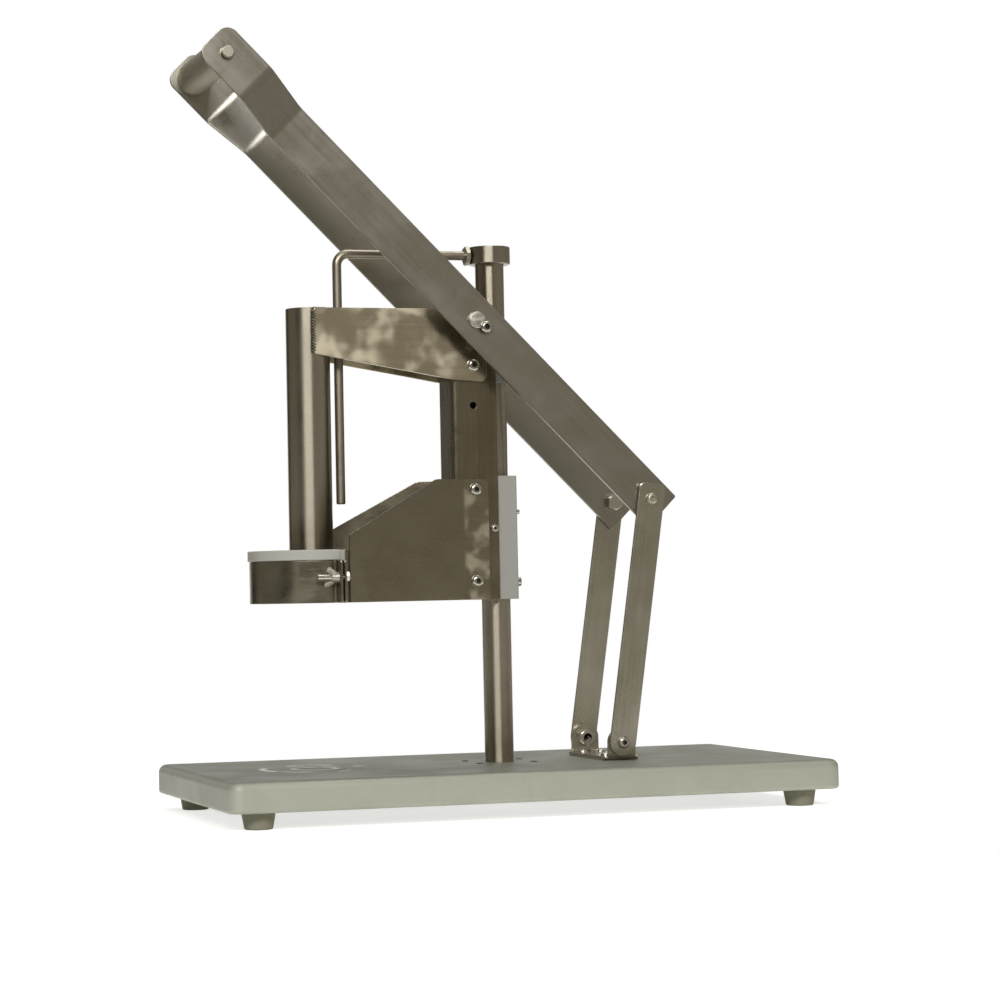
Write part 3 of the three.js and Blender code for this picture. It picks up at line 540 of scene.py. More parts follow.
def shader_group(name, *inputs, outputs):
    return node_group(name, "ShaderNodeTree", [("Vector", "NodeSocketVector"), *inputs],
                      [(label, FLOAT) for label in outputs])


def distances(*labels):
    return [(label, FLOAT, MM, "DISTANCE") for label in labels]


def finish_tree(tree, given, shape, sink):
    """Ends a tree with its shape made real and given its material."""
    real = add(tree, "GeometryNodeRealizeInstances", {"Geometry": shape}).outputs[0]
    done = add(tree, "GeometryNodeSetMaterial", {"Geometry": real, "Material": given["Material"]})
    tree.links.new(done.outputs[0], sink["Geometry"])


def at_places(tree, given, shape, sink):
    """Sets a shape at every point, turned to the point's aim and rolled about it."""
    aim = add(tree, "GeometryNodeInputNamedAttribute", {"Name": "aim"}, data_type="FLOAT_VECTOR")
    roll = add(tree, "GeometryNodeInputNamedAttribute", {"Name": "roll"}, data_type="FLOAT")
    facing = add(tree, "FunctionNodeAlignRotationToVector", {"Vector": aim.outputs["Attribute"]},
                 axis="Z").outputs[0]
    about = add(tree, "FunctionNodeAxisAngleToRotation", {
        "Axis": (0, 0, 1), "Angle": roll.outputs["Attribute"]}).outputs[0]
    rolled = add(tree, "FunctionNodeRotateRotation", {"Rotation": facing, "Rotate By": about},
                 rotation_space="LOCAL").outputs[0]
    copies_made = add(tree, "GeometryNodeInstanceOnPoints", {
        "Points": given["Geometry"], "Instance": shape, "Rotation": rolled}).outputs[0]
    finish_tree(tree, given, copies_made, sink)


def cylinder(tree, sides, radius, depth, segments=1):
    return add(tree, "GeometryNodeMeshCylinder", {
        "Vertices": sides, "Side Segments": segments, "Fill Segments": 1, "Radius": radius,
        "Depth": depth}, fill_type="NGON").outputs["Mesh"]


def lifted(tree, shape, height):
    shift = add(tree, "ShaderNodeCombineXYZ", {"Z": height}).outputs[0]
    return add(tree, "GeometryNodeTransform", {
        "Geometry": shape, "Translation": shift}).outputs[0]


def joined(tree, *shapes):
    node = add(tree, "GeometryNodeJoinGeometry")
    for shape in shapes:
        tree.links.new(shape, node.inputs[0])
    return node.outputs[0]


def hexagon(tree, width, depth):
    """A six-sided prism, by its width across the flats."""
    return cylinder(tree, 6, math_node(tree, "DIVIDE", width, math.sqrt(3)), depth)


@geometry_group("Socket screws", *distances("Head radius", "Head height"),
                ("Flat share", FLOAT, 0.5),
                *distances("Shank radius", "Shank length", "Socket width", "Socket depth"))
def screw_tree(tree, given, sink):
    """Socket screws: a domed head with a hexagon socket and a shank, at every place."""
    rough = cylinder(tree, 40, 1.0, 1.0, 8)
    where = add(tree, "ShaderNodeSeparateXYZ", {
        0: add(tree, "GeometryNodeInputPosition").outputs[0]}).outputs
    turn = times(tree, plus(tree, where["Z"], 0.5), QUARTER)
    round_share = minus(tree, 1.0, given["Flat share"])
    reach = plus(tree, given["Flat share"],
                 times(tree, round_share, math_node(tree, "COSINE", turn)))
    radius = times(tree, reach, given["Head radius"])
    shaped = add(tree, "ShaderNodeCombineXYZ", {
        "X": times(tree, where["X"], radius), "Y": times(tree, where["Y"], radius),
        "Z": times(tree, math_node(tree, "SINE", turn), given["Head height"])}).outputs[0]
    head = add(tree, "GeometryNodeSetPosition", {
        "Geometry": rough, "Position": shaped}).outputs[0]
    socket = hexagon(tree, given["Socket width"], times(tree, given["Socket depth"], 2.0))
    # Marks the socket's faces, which the bright steel darkens as painted shade
    marked = add(tree, "GeometryNodeStoreNamedAttribute", {
        "Geometry": socket, "Name": "sunk", "Value": 1.0},
        data_type="FLOAT", domain="FACE").outputs[0]
    cut = add(tree, "GeometryNodeMeshBoolean", {
        0: head, 1: lifted(tree, marked, given["Head height"])},
        operation="DIFFERENCE", solver="EXACT").outputs[0]
    shank = lifted(tree, cylinder(tree, 24, given["Shank radius"], given["Shank length"]),
                   times(tree, given["Shank length"], -0.5))
    at_places(tree, given, joined(tree, cut, shank), sink)


@geometry_group("Hexagon nuts", *distances("Width", "Height"), ("Round share", FLOAT, 0.93),
                *distances("Shank radius", "Shank above", "Shank below"))
def nut_tree(tree, given, sink):
    """Hexagon nuts or bolt heads with a turned chamfer and a shank through them."""
    height, above, below = given["Height"], given["Shank above"], given["Shank below"]
    half = times(tree, height, 0.5)
    prism = lifted(tree, hexagon(tree, given["Width"], height), half)
    face = times(tree, times(tree, given["Width"], 0.5), given["Round share"])
    foot = plus(tree, face, times(tree, height, 1.9))
    cone = add(tree, "GeometryNodeMeshCone", {
        "Vertices": 48, "Side Segments": 1, "Fill Segments": 1, "Radius Top": face,
        "Radius Bottom": foot, "Depth": height}, fill_type="NGON").outputs["Mesh"]
    both = add(tree, "GeometryNodeMeshBoolean", operation="INTERSECT", solver="EXACT")
    for shape in (prism, cone):
        tree.links.new(shape, both.inputs[1])
    span = plus(tree, height, plus(tree, above, below))
    centre = plus(tree, half, times(tree, minus(tree, above, below), 0.5))
    shank = lifted(tree, cylinder(tree, 24, given["Shank radius"], span), centre)
    at_places(tree, given, joined(tree, both.outputs[0], shank), sink)


@geometry_group("Copies", ("Shape", "NodeSocketObject"))
def copy_tree(tree, given, sink):
    """Copies of one shape at every place."""
    shape = add(tree, "GeometryNodeObjectInfo", {"Object": given["Shape"]}).outputs["Geometry"]
    at_places(tree, given, shape, sink)


@geometry_group("Bent rod", *distances("Radius", "Bend radius"), ("Sides", "NodeSocketInt", 32))
def rod_tree(tree, given, sink):
    """A round rod bent along a line, with round bends."""
    path = add(tree, "GeometryNodeFilletCurve", {
        "Curve": given["Geometry"], "Count": 14, "Radius": given["Bend radius"]},
        mode="POLY").outputs[0]
    ring = add(tree, "GeometryNodeCurvePrimitiveCircle", {
        "Resolution": given["Sides"], "Radius": given["Radius"]}).outputs[0]
    rod = add(tree, "GeometryNodeCurveToMesh", {
        "Curve": path, "Profile Curve": ring, "Fill Caps": True}).outputs[0]
    finish_tree(tree, given, rod, sink)


@geometry_group("Weld bead", *distances("Bead radius", "Ripple"), ("Seed", "NodeSocketInt", 7))
def weld_tree(tree, given, sink):
    """A rippled weld bead along a line."""
    points = add(tree, "GeometryNodeResampleCurve", {
        "Curve": given["Geometry"], "Length": given["Ripple"]}, mode="LENGTH").outputs[0]
    drop = add(tree, "GeometryNodeMeshUVSphere", {
        "Segments": 14, "Rings": 9, "Radius": given["Bead radius"]}).outputs["Mesh"]
    facing = add(tree, "FunctionNodeAlignRotationToVector", {
        "Vector": add(tree, "GeometryNodeInputTangent").outputs[0]}, axis="Z").outputs[0]
    uneven = add(tree, "FunctionNodeRandomValue", {
        "Min": (0.9, 0.9, 0.5), "Max": (1.1, 1.1, 0.62), "Seed": given["Seed"]},
        data_type="FLOAT_VECTOR").outputs["Value"]
    beads = add(tree, "GeometryNodeInstanceOnPoints", {
        "Points": points, "Instance": drop, "Rotation": facing, "Scale": uneven}).outputs[0]
    finish_tree(tree, given, beads, sink)


def grown(source, tree, name, material, values):
    """Runs a tree on an object with values for its named inputs; keeps the result as a mesh."""
    modifier = source.modifiers.new(tree.name, "NODES")
    modifier.node_group = tree
    known = {item.name: item.identifier for item in tree.interface.items_tree
             if item.item_type == "SOCKET" and item.in_out == "INPUT"}
    for label, value in {**values, "Material": material_of(material)}.items():
        modifier[known[label]] = value
    return smoothed(baked(source, name + "_rough"), name)


def places_object(places):
    """Points with an aim and a roll for what is set on them."""
    mesh = bpy.data.meshes.new("places")
    mesh.from_pydata([tuple(point) for point, *_ in places], [], [])
    mesh.attributes.new("aim", "FLOAT_VECTOR", "POINT")
    mesh.attributes.new("roll", "FLOAT", "POINT")
    for i, (_, direction, *turn) in enumerate(places):
        mesh.attributes["aim"].data[i].vector = direction
        mesh.attributes["roll"].data[i].value = turn[0] if turn else 0.0
    return shown("places", mesh)


def line_object(*lines):
    """Poly lines as one curve object."""
    curve = bpy.data.curves.new("lines", "CURVE")
    curve.dimensions = "3D"
    for points in lines:
        spline = curve.splines.new("POLY")
        spline.points.add(len(points) - 1)
        for target, point in zip(spline.points, points):
            target.co = (*point, 1.0)
    return shown("lines", curve)


def screws(name, places, sizes, material, body, *nodes, flat=None):
    """Socket screws at places, each a seat point, a direction and a roll.

    The sizes are head radius, head height, shank radius and length, socket width and depth."""
    labels = ("Flat share", "Head radius", "Head height", "Shank radius", "Shank length",
              "Socket width", "Socket depth")
    share = bpy.context.scene.corer_hardware.dome_share if flat is None else flat
    values = dict(zip(labels, (share, *sizes)))
    made = grown(places_object(places), screw_tree(), name, material, values)
    fitted(made, body, "bright_fasteners", *nodes)


def nuts(name, places, sizes, material, body, *nodes):
    """Hexagon nuts: width, height, shank radius and the shank's length above and below."""
    labels = ("Round share", "Width", "Height", "Shank radius", "Shank above", "Shank below")
    values = dict(zip(labels, (bpy.context.scene.corer_hardware.nut_chamfer, *sizes)))
    made = grown(places_object(places), nut_tree(), name, material, values)
    fitted(made, body, "bright_fasteners", *nodes)


def copies(name, places, bm, material, body, slot, *nodes):
    """One shape, drawn at the origin, at several places."""
    shape = solid(name + "_shape", bm, material)
    made = grown(places_object(places), copy_tree(), name, material, {"Shape": shape})
    bpy.data.objects.remove(shape)
    fitted(made, body, slot, *nodes)


def welds(name, lines, bead, seed):
    """Rippled beads along lines of the carriage."""
    made = grown(line_object(*lines), weld_tree(), name, "weld", {
        "Bead radius": bead, "Ripple": bpy.context.scene.corer_cutter.bead_step, "Seed": seed})
    fitted(made, "carriage", "polished_sheet")


# Finishes: how far grain, polish, smudges and sockets change a steel's colour and roughness;
# the polish patches' brighter colour is a painted sheen, the sockets' darker one painted shade

GRAIN_TONE, GRAIN_ROUGH = 1.4, 0.16
PATCH_SHEEN_TONE, PATCH_ROUGH = 1.55, 0.4
SMUDGE_TONE, SMUDGE_SHARE, SMUDGE_ROUGH = 0.8, 0.22, 0.10
SOCKET_SHADE_TONE, SOCKET_ROUGH = 0.06, 0.5
# How much painted shade darkens the base's upward faces
TOP_SHADE_SHARE, TOP_SHADE_TONE = 0.72, 0.42
# Rings scored into the base, by radius and width in millimetres,
# and their colour, a painted highlight
SCORES = ((47.5, 4.6), (21.0, 3.6), (38.0, 1.6))
SCORE_HIGHLIGHT = (0.95, 0.94, 0.88, 1)


def noise(tree, place, scale, detail, roughness=0.5, distortion=0.0):
    return add(tree, "ShaderNodeTexNoise", {
        "Vector": place, "Scale": scale, "Detail": detail, "Roughness": roughness,
        "Distortion": distortion}).outputs


def ramped(tree, value, low, high, kind="SMOOTHSTEP"):
    """0 below one value and 1 above another, or the other way round."""
    return add(tree, "ShaderNodeMapRange", {"Value": value, "From Min": low, "From Max": high},
               interpolation_type=kind).outputs[0]


def vector_node(tree, operation, first, second=(0, 0, 0), output=0):
    made = add(tree, "ShaderNodeVectorMath", {0: first, 1: second}, operation=operation)
    return made.outputs[output]


def raised(tree, value, mask, share):
    return plus(tree, value, times(tree, mask, share))


def scaled(colour, share):
    return (*(min(1.0, part * share) for part in colour), 1.0)


def mix_colour(tree, factor, first, second):
    return add(tree, "ShaderNodeMix", {0: factor, 6: first, 7: second},
               data_type="RGBA").outputs[2]


def toned(tree, base, colour, mask, share, tone_share):
    """Takes a base colour part of the way to a darker or brighter one where a mask is."""
    return mix_colour(tree, times(tree, mask, share), base, scaled(colour, tone_share))


def use(tree, group, place, **inputs):
    """The outputs of a shader group at a place."""
    return add(tree, "ShaderNodeGroup", {"Vector": place, **inputs}, node_tree=group()).outputs


@shader_group("Brushed grain", ("Stretch", "NodeSocketVector", (0.02, 1, 1)),
              ("Lines", FLOAT, 900.0), outputs=["Grain"])
def brushed_grain(tree, given, sink):
    """Fine lines left by a brush or a belt: stretched noise at two widths."""
    drawn = vector_node(tree, "MULTIPLY", given["Vector"], given["Stretch"])
    fine = noise(tree, drawn, given["Lines"], 1.0, 0.6)[0]
    broad = noise(tree, drawn, times(tree, given["Lines"], 0.22), 2.0)[0]
    tree.links.new(raised(tree, times(tree, fine, 0.6), broad, 0.4), sink["Grain"])


@shader_group("Polish clouds", ("Scale", FLOAT, 30.0), ("Warp", FLOAT, 0.8),
              outputs=["Cloud", "Patch"])
def polish_clouds(tree, given, sink):
    """Broad soft patches of a hand-polished plate, with their edges drawn out; steel paints
    them brighter as a painted sheen.
    """
    warp = noise(tree, given["Vector"], times(tree, given["Scale"], 0.6), 1.0)["Color"]
    pull = vector_node(tree, "SUBTRACT", warp, (0.5, 0.5, 0.5))
    small = add(tree, "ShaderNodeVectorMath", {
        0: pull, "Scale": math_node(tree, "DIVIDE", given["Warp"], given["Scale"])},
        operation="SCALE").outputs[0]
    where = vector_node(tree, "ADD", given["Vector"], small)
    cloud = noise(tree, where, given["Scale"], 2.0, 0.45)[0]
    tree.links.new(cloud, sink["Cloud"])
    tree.links.new(ramped(tree, cloud, 0.44, 0.66), sink["Patch"])


@shader_group("Handling marks", ("Scale", FLOAT, 22.0), outputs=["Smudge"])
def handling_marks(tree, given, sink):
    """Smudges of use."""
    stain = noise(tree, given["Vector"], given["Scale"], 6.0, 0.62, 0.5)[0]
    tree.links.new(ramped(tree, stain, 0.36, 0.68), sink["Smudge"])


def emptied(made):
    """The node tree of a new material or world, without its first nodes."""
    made.use_nodes = True
    made.node_tree.nodes.clear()
    return made.node_tree


def new_material(name, metallic):
    """A material with its shader and Object coordinates."""
    made = bpy.data.materials.new(name)
    tree = emptied(made)
    shader = add(tree, "ShaderNodeBsdfPrincipled", {
        "Metallic": metallic, "Specular IOR Level": 0.5})
    add(tree, "ShaderNodeOutputMaterial", {"Surface": shader.outputs[0]})
    return made, tree, shader.inputs, add(tree, "ShaderNodeTexCoord").outputs["Object"]


def wired(tree, shader, base, rough, height):
    bump = add(tree, "ShaderNodeBump", {"Height": height, "Distance": 1.0, "Strength": 1.0})
    for label, value in (("Base Color", base), ("Roughness", rough), ("Normal", bump.outputs[0])):
        tree.links.new(value, shader[label])


def steel(name, colour, roughness, turn=(0, 0, 0), stretch=(0.02, 1, 1), lines=900.0, grain=1.0,
          cloud_scale=30.0, wave=0.0, patch=0.0, contrast=0.05, lathe=0.0, sunk=0.0,
          patch_from=None):
    """Brushed or polished steel: lines along X after the turn, and clouds of polish.

    The polish patches are rougher and painted brighter, which is a painted sheen. lathe is the
    share of a lathe's rings, which draw a lamp out along the bar, and sunk is how much painted
    shade darkens a socket's faces. The patches start at the X of patch_from, if it is given.
    """
    finish = bpy.context.scene.corer_finish
    made, tree, shader, place = new_material(name, 1.0)
    way = add(tree, "ShaderNodeMapping", {"Vector": place, "Rotation": turn}).outputs[0]
    drawn = use(tree, brushed_grain, way, Stretch=stretch, Lines=lines)["Grain"]
    clouds = use(tree, polish_clouds, way, Scale=cloud_scale)
    smudge = use(tree, handling_marks, place)["Smudge"]
    base = mix_colour(tree, drawn, scaled(colour, 1 - GRAIN_TONE * contrast),
                      scaled(colour, 1 + GRAIN_TONE * contrast))
    if patch_from is not None:
        along = add(tree, "ShaderNodeSeparateXYZ", {0: place}).outputs["X"]
        edge = ramped(tree, along, patch_from - 2 * MM, patch_from + 4 * MM, "LINEAR")
        patch = times(tree, patch, edge)
    # Polish patches: painted brighter here, a painted sheen, and made rougher further down
    patches = times(tree, clouds["Patch"], patch)
    base = mix_colour(tree, patches, base, scaled(colour, PATCH_SHEEN_TONE))
    base = toned(tree, base, colour, smudge, SMUDGE_SHARE, SMUDGE_TONE)
    rough = raised(tree, roughness, smudge, SMUDGE_ROUGH)
    # Socket faces are darkened: painted shade in the recess
    if sunk:
        socket = add(tree, "ShaderNodeAttribute", attribute_name="sunk").outputs["Fac"]
        base = toned(tree, base, colour, socket, sunk, SOCKET_SHADE_TONE)
        rough = raised(tree, rough, socket, SOCKET_ROUGH)
    rough = raised(tree, rough, minus(tree, drawn, 0.5), GRAIN_ROUGH)
    rough = raised(tree, rough, patches, PATCH_ROUGH)
    height = times(tree, drawn, finish.grain * grain)
    if wave:
        height = raised(tree, height, clouds["Cloud"], finish.wave * wave)
    wired(tree, shader, base, rough, height)
    if lathe:
        shader["Anisotropic"].default_value = lathe
        shader["Anisotropic Rotation"].default_value = 0.25
    return made


def moulded(name, colour, roughness, speckle, depth):
    """Moulded plastic or rubber: an even colour with a fine skin and faint stains."""
    made, tree, shader, place = new_material(name, 0.0)
    smudge = use(tree, handling_marks, place, Scale=30.0)["Smudge"]
    fine = noise(tree, place, speckle, 4.0, 0.6)[0]
    base = mix_colour(tree, fine, scaled(colour, 0.93), scaled(colour, 1.06))
    base = toned(tree, base, colour, smudge, 0.25, 0.84)
    wired(tree, shader, base, raised(tree, roughness, smudge, 0.12), times(tree, fine, depth))
    return made


def cutter_scores(tree, place, base):
    """Rings the blade and core tube scored into the base below them, with a painted highlight."""
    cutter = middle("core_tube")
    far = vector_node(tree, "SUBTRACT", place, (cutter.x, cutter.y, 0))
    flat = vector_node(tree, "MULTIPLY", far, (1, 1, 0))
    reach = raised(tree, vector_node(tree, "LENGTH", flat, output=1),
                   noise(tree, place, 26.0, 2.0)[0], 4 * MM)
    broken = ramped(tree, noise(tree, place, 34.0, 5.0)[0], 0.44, 0.54)
    for radius, width in SCORES:
        off = math_node(tree, "ABSOLUTE", minus(tree, reach, radius * MM))
        ring = ramped(tree, off, width * MM, 0.3 * width * MM, "LINEAR")
        # The scored rings are real marks; their near-white colour is a painted highlight
        base = mix_colour(tree, times(tree, ring, broken), base, SCORE_HIGHLIGHT)
    return base


def satin_sheet(name, colour):
    """The base's satin sheet: nearly matt, painted shade on its top, scored under the cutter."""
    made, tree, shader, place = new_material(name, 0.45)
    drawn = use(tree, brushed_grain, place, Stretch=(0.03, 1, 1), Lines=1100.0)["Grain"]
    smudge = use(tree, handling_marks, place, Scale=16.0)["Smudge"]
    base = mix_colour(tree, drawn, scaled(colour, 0.94), scaled(colour, 1.05))
    base = toned(tree, base, colour, smudge, 0.3, 0.86)
    # The mask worn picks the upward faces: painted shade darkens them, and the scores go only
    # there
    facing = add(tree, "ShaderNodeSeparateXYZ", {
        0: add(tree, "ShaderNodeNewGeometry").outputs["Normal"]}).outputs["Z"]
    worn = ramped(tree, facing, 0.6, 0.98)
    base = toned(tree, base, colour, worn, TOP_SHADE_SHARE, TOP_SHADE_TONE)
    base = mix_colour(tree, worn, base, cutter_scores(tree, place, base))
    wired(tree, shader, base, raised(tree, 0.5, smudge, 0.15),
          times(tree, drawn, bpy.context.scene.corer_finish.grain * 0.6))
    return made


def material_of(key):
    """The finishes of the pieces by a short name, each made at its first use."""
    finish, sheet = bpy.context.scene.corer_finish, bpy.context.scene.corer_sheet
    even, upward = dict(stretch=(1, 1, 1)), dict(stretch=(0.05, 0.05, 1))
    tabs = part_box("lower_bracket_near")[1].x - ARM_TAB
    # The patch entries set how far the polish patches carry a painted sheen
    maker, name, *values, more = {
        "lever": (steel, "lever_steel", finish.lever, finish.roughness, dict(
            turn=(0, -sheet.lever_angle, 0), lines=420, wave=0.25, cloud_scale=14,
            contrast=0.07)),
        "link": (steel, "link_steel", finish.link, finish.roughness, dict(
            turn=(0, QUARTER - sheet.link_lean, 0), lines=420, contrast=0.07)),
        "plate": (steel, "plate_steel", finish.plate, 0.2, dict(
            lines=600, grain=0.5, wave=7.0, patch=0.8, cloud_scale=34, contrast=0.06)),
        "arm": (steel, "arm_steel", finish.arm, 0.26, dict(
            lines=600, grain=0.5, wave=1.2, patch=1.0, cloud_scale=44, patch_from=tabs,
            contrast=0.06)),
        "channel": (steel, "channel_steel", finish.channel, 0.24, dict(
            stretch=(1, 1, 0.03), lines=700, grain=0.6, wave=0.6, patch=0.1, contrast=0.1)),
        "ring": (steel, "ring_steel", finish.ring, 0.25, dict(
            upward, grain=0.5, wave=0.6, patch=0.1, cloud_scale=44)),
        "bar": (steel, "turned_bar", finish.bar, 0.31, dict(
            stretch=(0.03, 0.03, 1), grain=0.15, lathe=0.9)),
        "rod": (steel, "bent_rod", finish.bar, 0.37, dict(stretch=(0.2, 0.2, 1), grain=0.2)),
        "dull": (steel, "dull_steel", finish.link, 0.42, dict(even, lines=400, grain=0.4)),
        "bright": (steel, "bright_steel", finish.bright, 0.2, dict(
            even, lines=300, grain=0.3, sunk=0.95)),
        "worn": (steel, "worn_steel", finish.bright, 0.3, dict(
            even, lines=300, wave=0.6, patch=0.4, cloud_scale=260)),
        "grip": (steel, "grip_steel", finish.grip, 0.5, dict(
            stretch=(1, 0.05, 1), lines=500, grain=0.3, contrast=0.06)),
        "black": (steel, "blackened_steel", scaled(finish.bright, 0.1)[:3], 0.5, dict(
            even, lines=300)),
        "weld": (steel, "weld_steel", finish.weld, 0.3, dict(
            even, lines=500, patch=0.4, contrast=0.1)),
        "blade": (steel, "ground_blade", finish.blade, 0.2, dict(
            upward, grain=0.5, contrast=0.1)),
        "pan": (satin_sheet, "satin_sheet", finish.pan, {}),
        "plastic": (moulded, "guide_plastic", finish.plastic, 0.42, 900.0, 0.02 * MM, {}),
        "holder": (moulded, "holder_plastic", finish.holder, 0.4, 900.0, 0.02 * MM, {}),
        "rubber": (moulded, "foot_rubber", finish.rubber, 0.72, 1500.0, 0.06 * MM, {}),
    }[key]
    return bpy.data.materials.get(name) or maker(name, *values, **more)


def dressed(node, material):
    """Gives a CAD node that stays in view its finish."""
    for slot in frame["nodes"][node].material_slots:
        slot.material = material_of(material)


# Screws: head radius and height, shank radius and length, socket width and depth
COLLAR_SCREW = mm(3, 0.3, 3, 4, 3, 2)
BRACKET_SCREW = mm(4.6, 2.6, 2.5, 6, 3, 1.3)
FOOT_BOLT = mm(5.4, 3.2, 4, 13, 4, 1.6)
GUIDE_SCREW = mm(3.6, 2.4, 1.6, 3, 2, 1.2)
KEEPER_SCREW = mm(5.2, 3, 2, 6, 4.4, 2.2)
LINK_SCREW = mm(5.4, 3.5, 4, 3.2, 4, 1.7)

# Nuts: width and height, shank radius, and how far the shank stands out above and below
BRACKET_NUT = mm(8, 4, 2.5, 0, 2)
FOOT_NUT = mm(13, 6.5, 4, 0, 0)
CLAMP_BOLT = mm(8, 3.5, 2.5, 0, 24)


# The stand


class CORER_OT_base(bpy.types.Operator):
    """Fold the sheet base with its flange and holes"""
    bl_idname = "corer.base"
    bl_label = "Base"

    def execute(self, context):
        sizes = context.scene.corer_base
        low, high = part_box("base_pan")
        post = middle("guide_post")
        rows = [(sizes.flange, low.z, sizes.mouth)]
        turns = [QUARTER * k / FOLD_STEPS for k in range(FOLD_STEPS + 1)]
        folds = [(sizes.low_bend, 1 - math.sin(a), low.z, 1 - math.cos(a)) for a in turns]
        folds += [(sizes.top_bend, 1 - math.cos(a), high.z, math.sin(a) - 1) for a in turns]
        for bend, aside, level, up in folds:
            rows.append((bend * aside, level + bend * up, sizes.corner - bend * aside))
        bm = bmesh.new()
        rings = []
        for inset, z, corner in rows:
            x, y = high.x - inset, high.y - inset
            rings.append([bm.verts.new((p.x, p.y, z)) for p in panel(-x, -y, x, y, corner)])
        for below, above in zip(rings, rings[1:]):
            skin(bm, below, above)
        holes = [circle(post.x, post.y, sizes.post_hole, 64)]
        for i in range(4):
            screw = middle(f"clevis_screw_{i + 1}")
            holes.append(circle(screw.x, screw.y, sizes.screw_hole))
        loops = [[bm.verts.new((p.x, p.y, high.z)) for p in hole] for hole in holes]
        top = [f for f in cap(bm, [rings[-1], *loops]) if isinstance(f, bmesh.types.BMFace)]
        bm.normal_update()
        bmesh.ops.reverse_faces(bm, faces=[f for f in top if f.normal.z < 0])
        mesh = mesh_of(bm, "base_sheet")
        mesh.materials.append(material_of("pan"))
        sheet = shown("base_rough", mesh)
        wall = sheet.modifiers.new("Wall", "SOLIDIFY")
        wall.thickness = sizes.wall
        wall.offset = -1
        wall.use_even_offset = True
        made = smoothed(baked(sheet, "base_thick"), "base_sheet")
        fitted(made, "stand", "pan_steel", "base_pan")
        dressed("post_plate", "channel")
        dressed("post_bolt", "bright")
        return {"FINISHED"}


class CORER_OT_feet(bpy.types.Operator):
    """Set the four rubber feet under the base"""
    bl_idname = "corer.feet"
    bl_label = "Feet"

    def execute(self, context):
        groove = context.scene.corer_base.foot_groove
        names = ["foot_near_left", "foot_near_right", "foot_far_right", "foot_far_left"]
        low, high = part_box(names[0])
        radius = (high.x - low.x) / 2
        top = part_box("base_pan")[0].z
        stem, recess, recess_top = mm(4, 5, 7)
        tread, taper, neck, lip, ease = radius * 0.82, *mm(0.45, 2.6, 1.2, 0.4)
        profile = line(
            (0, recess_top, 0), (recess, recess_top, ease), (recess, 0, 0.8 * MM),
            (tread, 0, 1.6 * MM), (radius - taper, top - neck, 0.5 * MM),
            (radius - groove, top - lip, ease), (radius, top, ease),
            (stem, top, 0), (stem, high.z, 0.6 * MM), (0, high.z, 0))
        places = [(Vector((*middle(name).xy, 0)), (0, 0, 1)) for name in names]
        copies("rubber_feet", places, turned(profile, 48), "rubber", "stand", "rubber", *names)
        return {"FINISHED"}


class CORER_OT_post(bpy.types.Operator):
    """Turn the guide post and the collar on its top"""
    bl_idname = "corer.post"
    bl_label = "Post and collar"

    def execute(self, context):
        low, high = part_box("guide_post")
        centre = on_axis("guide_post")
        radius = (high.x - low.x) / 2
        bevel, ease = mm(1.2, 0.4)
        profile = line((0, low.z, 0), (radius, low.z, ease), (radius, high.z - bevel, ease),
                       (radius - bevel, high.z, ease), (0, high.z, 0))
        piece("post_bar", moved(turned(profile, 96), centre), "bar", "stand", "bar_steel",
              "guide_post")
        low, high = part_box("post_collar")
        ring = tube_profile(radius + 0.15 * MM, (high.y - low.y) / 2, low.z, high.z, 0.9 * MM)
        piece("stop_collar", moved(turned(ring, 96), centre), "bar", "stand", "bar_steel",
              "post_collar")
        seat = (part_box("collar_set_screw")[1].x, 0, (low.z + high.z) / 2)
        screws("collar_screw", [(seat, (1, 0, 0))], COLLAR_SCREW, "bright", "stand",
               "collar_set_screw", flat=0.9)
        return {"FINISHED"}


class CORER_OT_plate_screws(bpy.types.Operator):
    """Set the dark screws that hold the post's plate"""
    bl_idname = "corer.plate_screws"
    bl_label = "Post plate screws"

    def execute(self, context):
        post = middle("guide_post")
        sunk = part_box("base_pan")[1].z - 0.5 * MM
        spots = ((-25, -20), (25, -20), (25, 20), (-25, 20))
        places = [(Vector((post.x + x * MM, y * MM, sunk)), (0, 0, 1), x) for x, y in spots]
        sizes = [context.scene.corer_base.plate_screw, *mm(1.1, 2, 6, 2.5, 0.9)]
        screws("post_plate_screws", places, sizes, "black", "stand")
        return {"FINISHED"}


class CORER_OT_ejector(bpy.types.Operator):
    """Bend the ejector rod and set its nut"""
    bl_idname = "corer.ejector"
    bl_label = "Ejector rod"

    def execute(self, context):
        hardware = context.scene.corer_hardware
        low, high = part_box("ejector_rod")
        x, z = low.x + hardware.rod, high.z - hardware.rod
        rod = grown(line_object([(high.x, 0, z), (x, 0, z), (x, 0, low.z)]), rod_tree(),
                    "rod_sharp", "rod", {
                        "Radius": hardware.rod, "Bend radius": hardware.rod_bend, "Sides": 36})
        tip = rod.modifiers.new("Tip", "BEVEL")
        tip.width = 1.1 * MM
        tip.segments = 3
        tip.angle_limit = math.radians(60)
        rod = smoothed(baked(rod, "rod_rough"), "ejector_bar")
        fitted(rod, "stand", "bar_steel", "ejector_rod")
        low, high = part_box("rod_jam_nut")
        seat = (low.x, 0, (low.z + high.z) / 2)
        play = 0.2 * MM
        sizes = (high.y - low.y, high.x - low.x, hardware.rod + play, play, 0.0)
        nuts("ejector_nut", [(seat, (1, 0, 0), 0.3)], sizes, "dull", "stand", "rod_jam_nut")
        return {"FINISHED"}


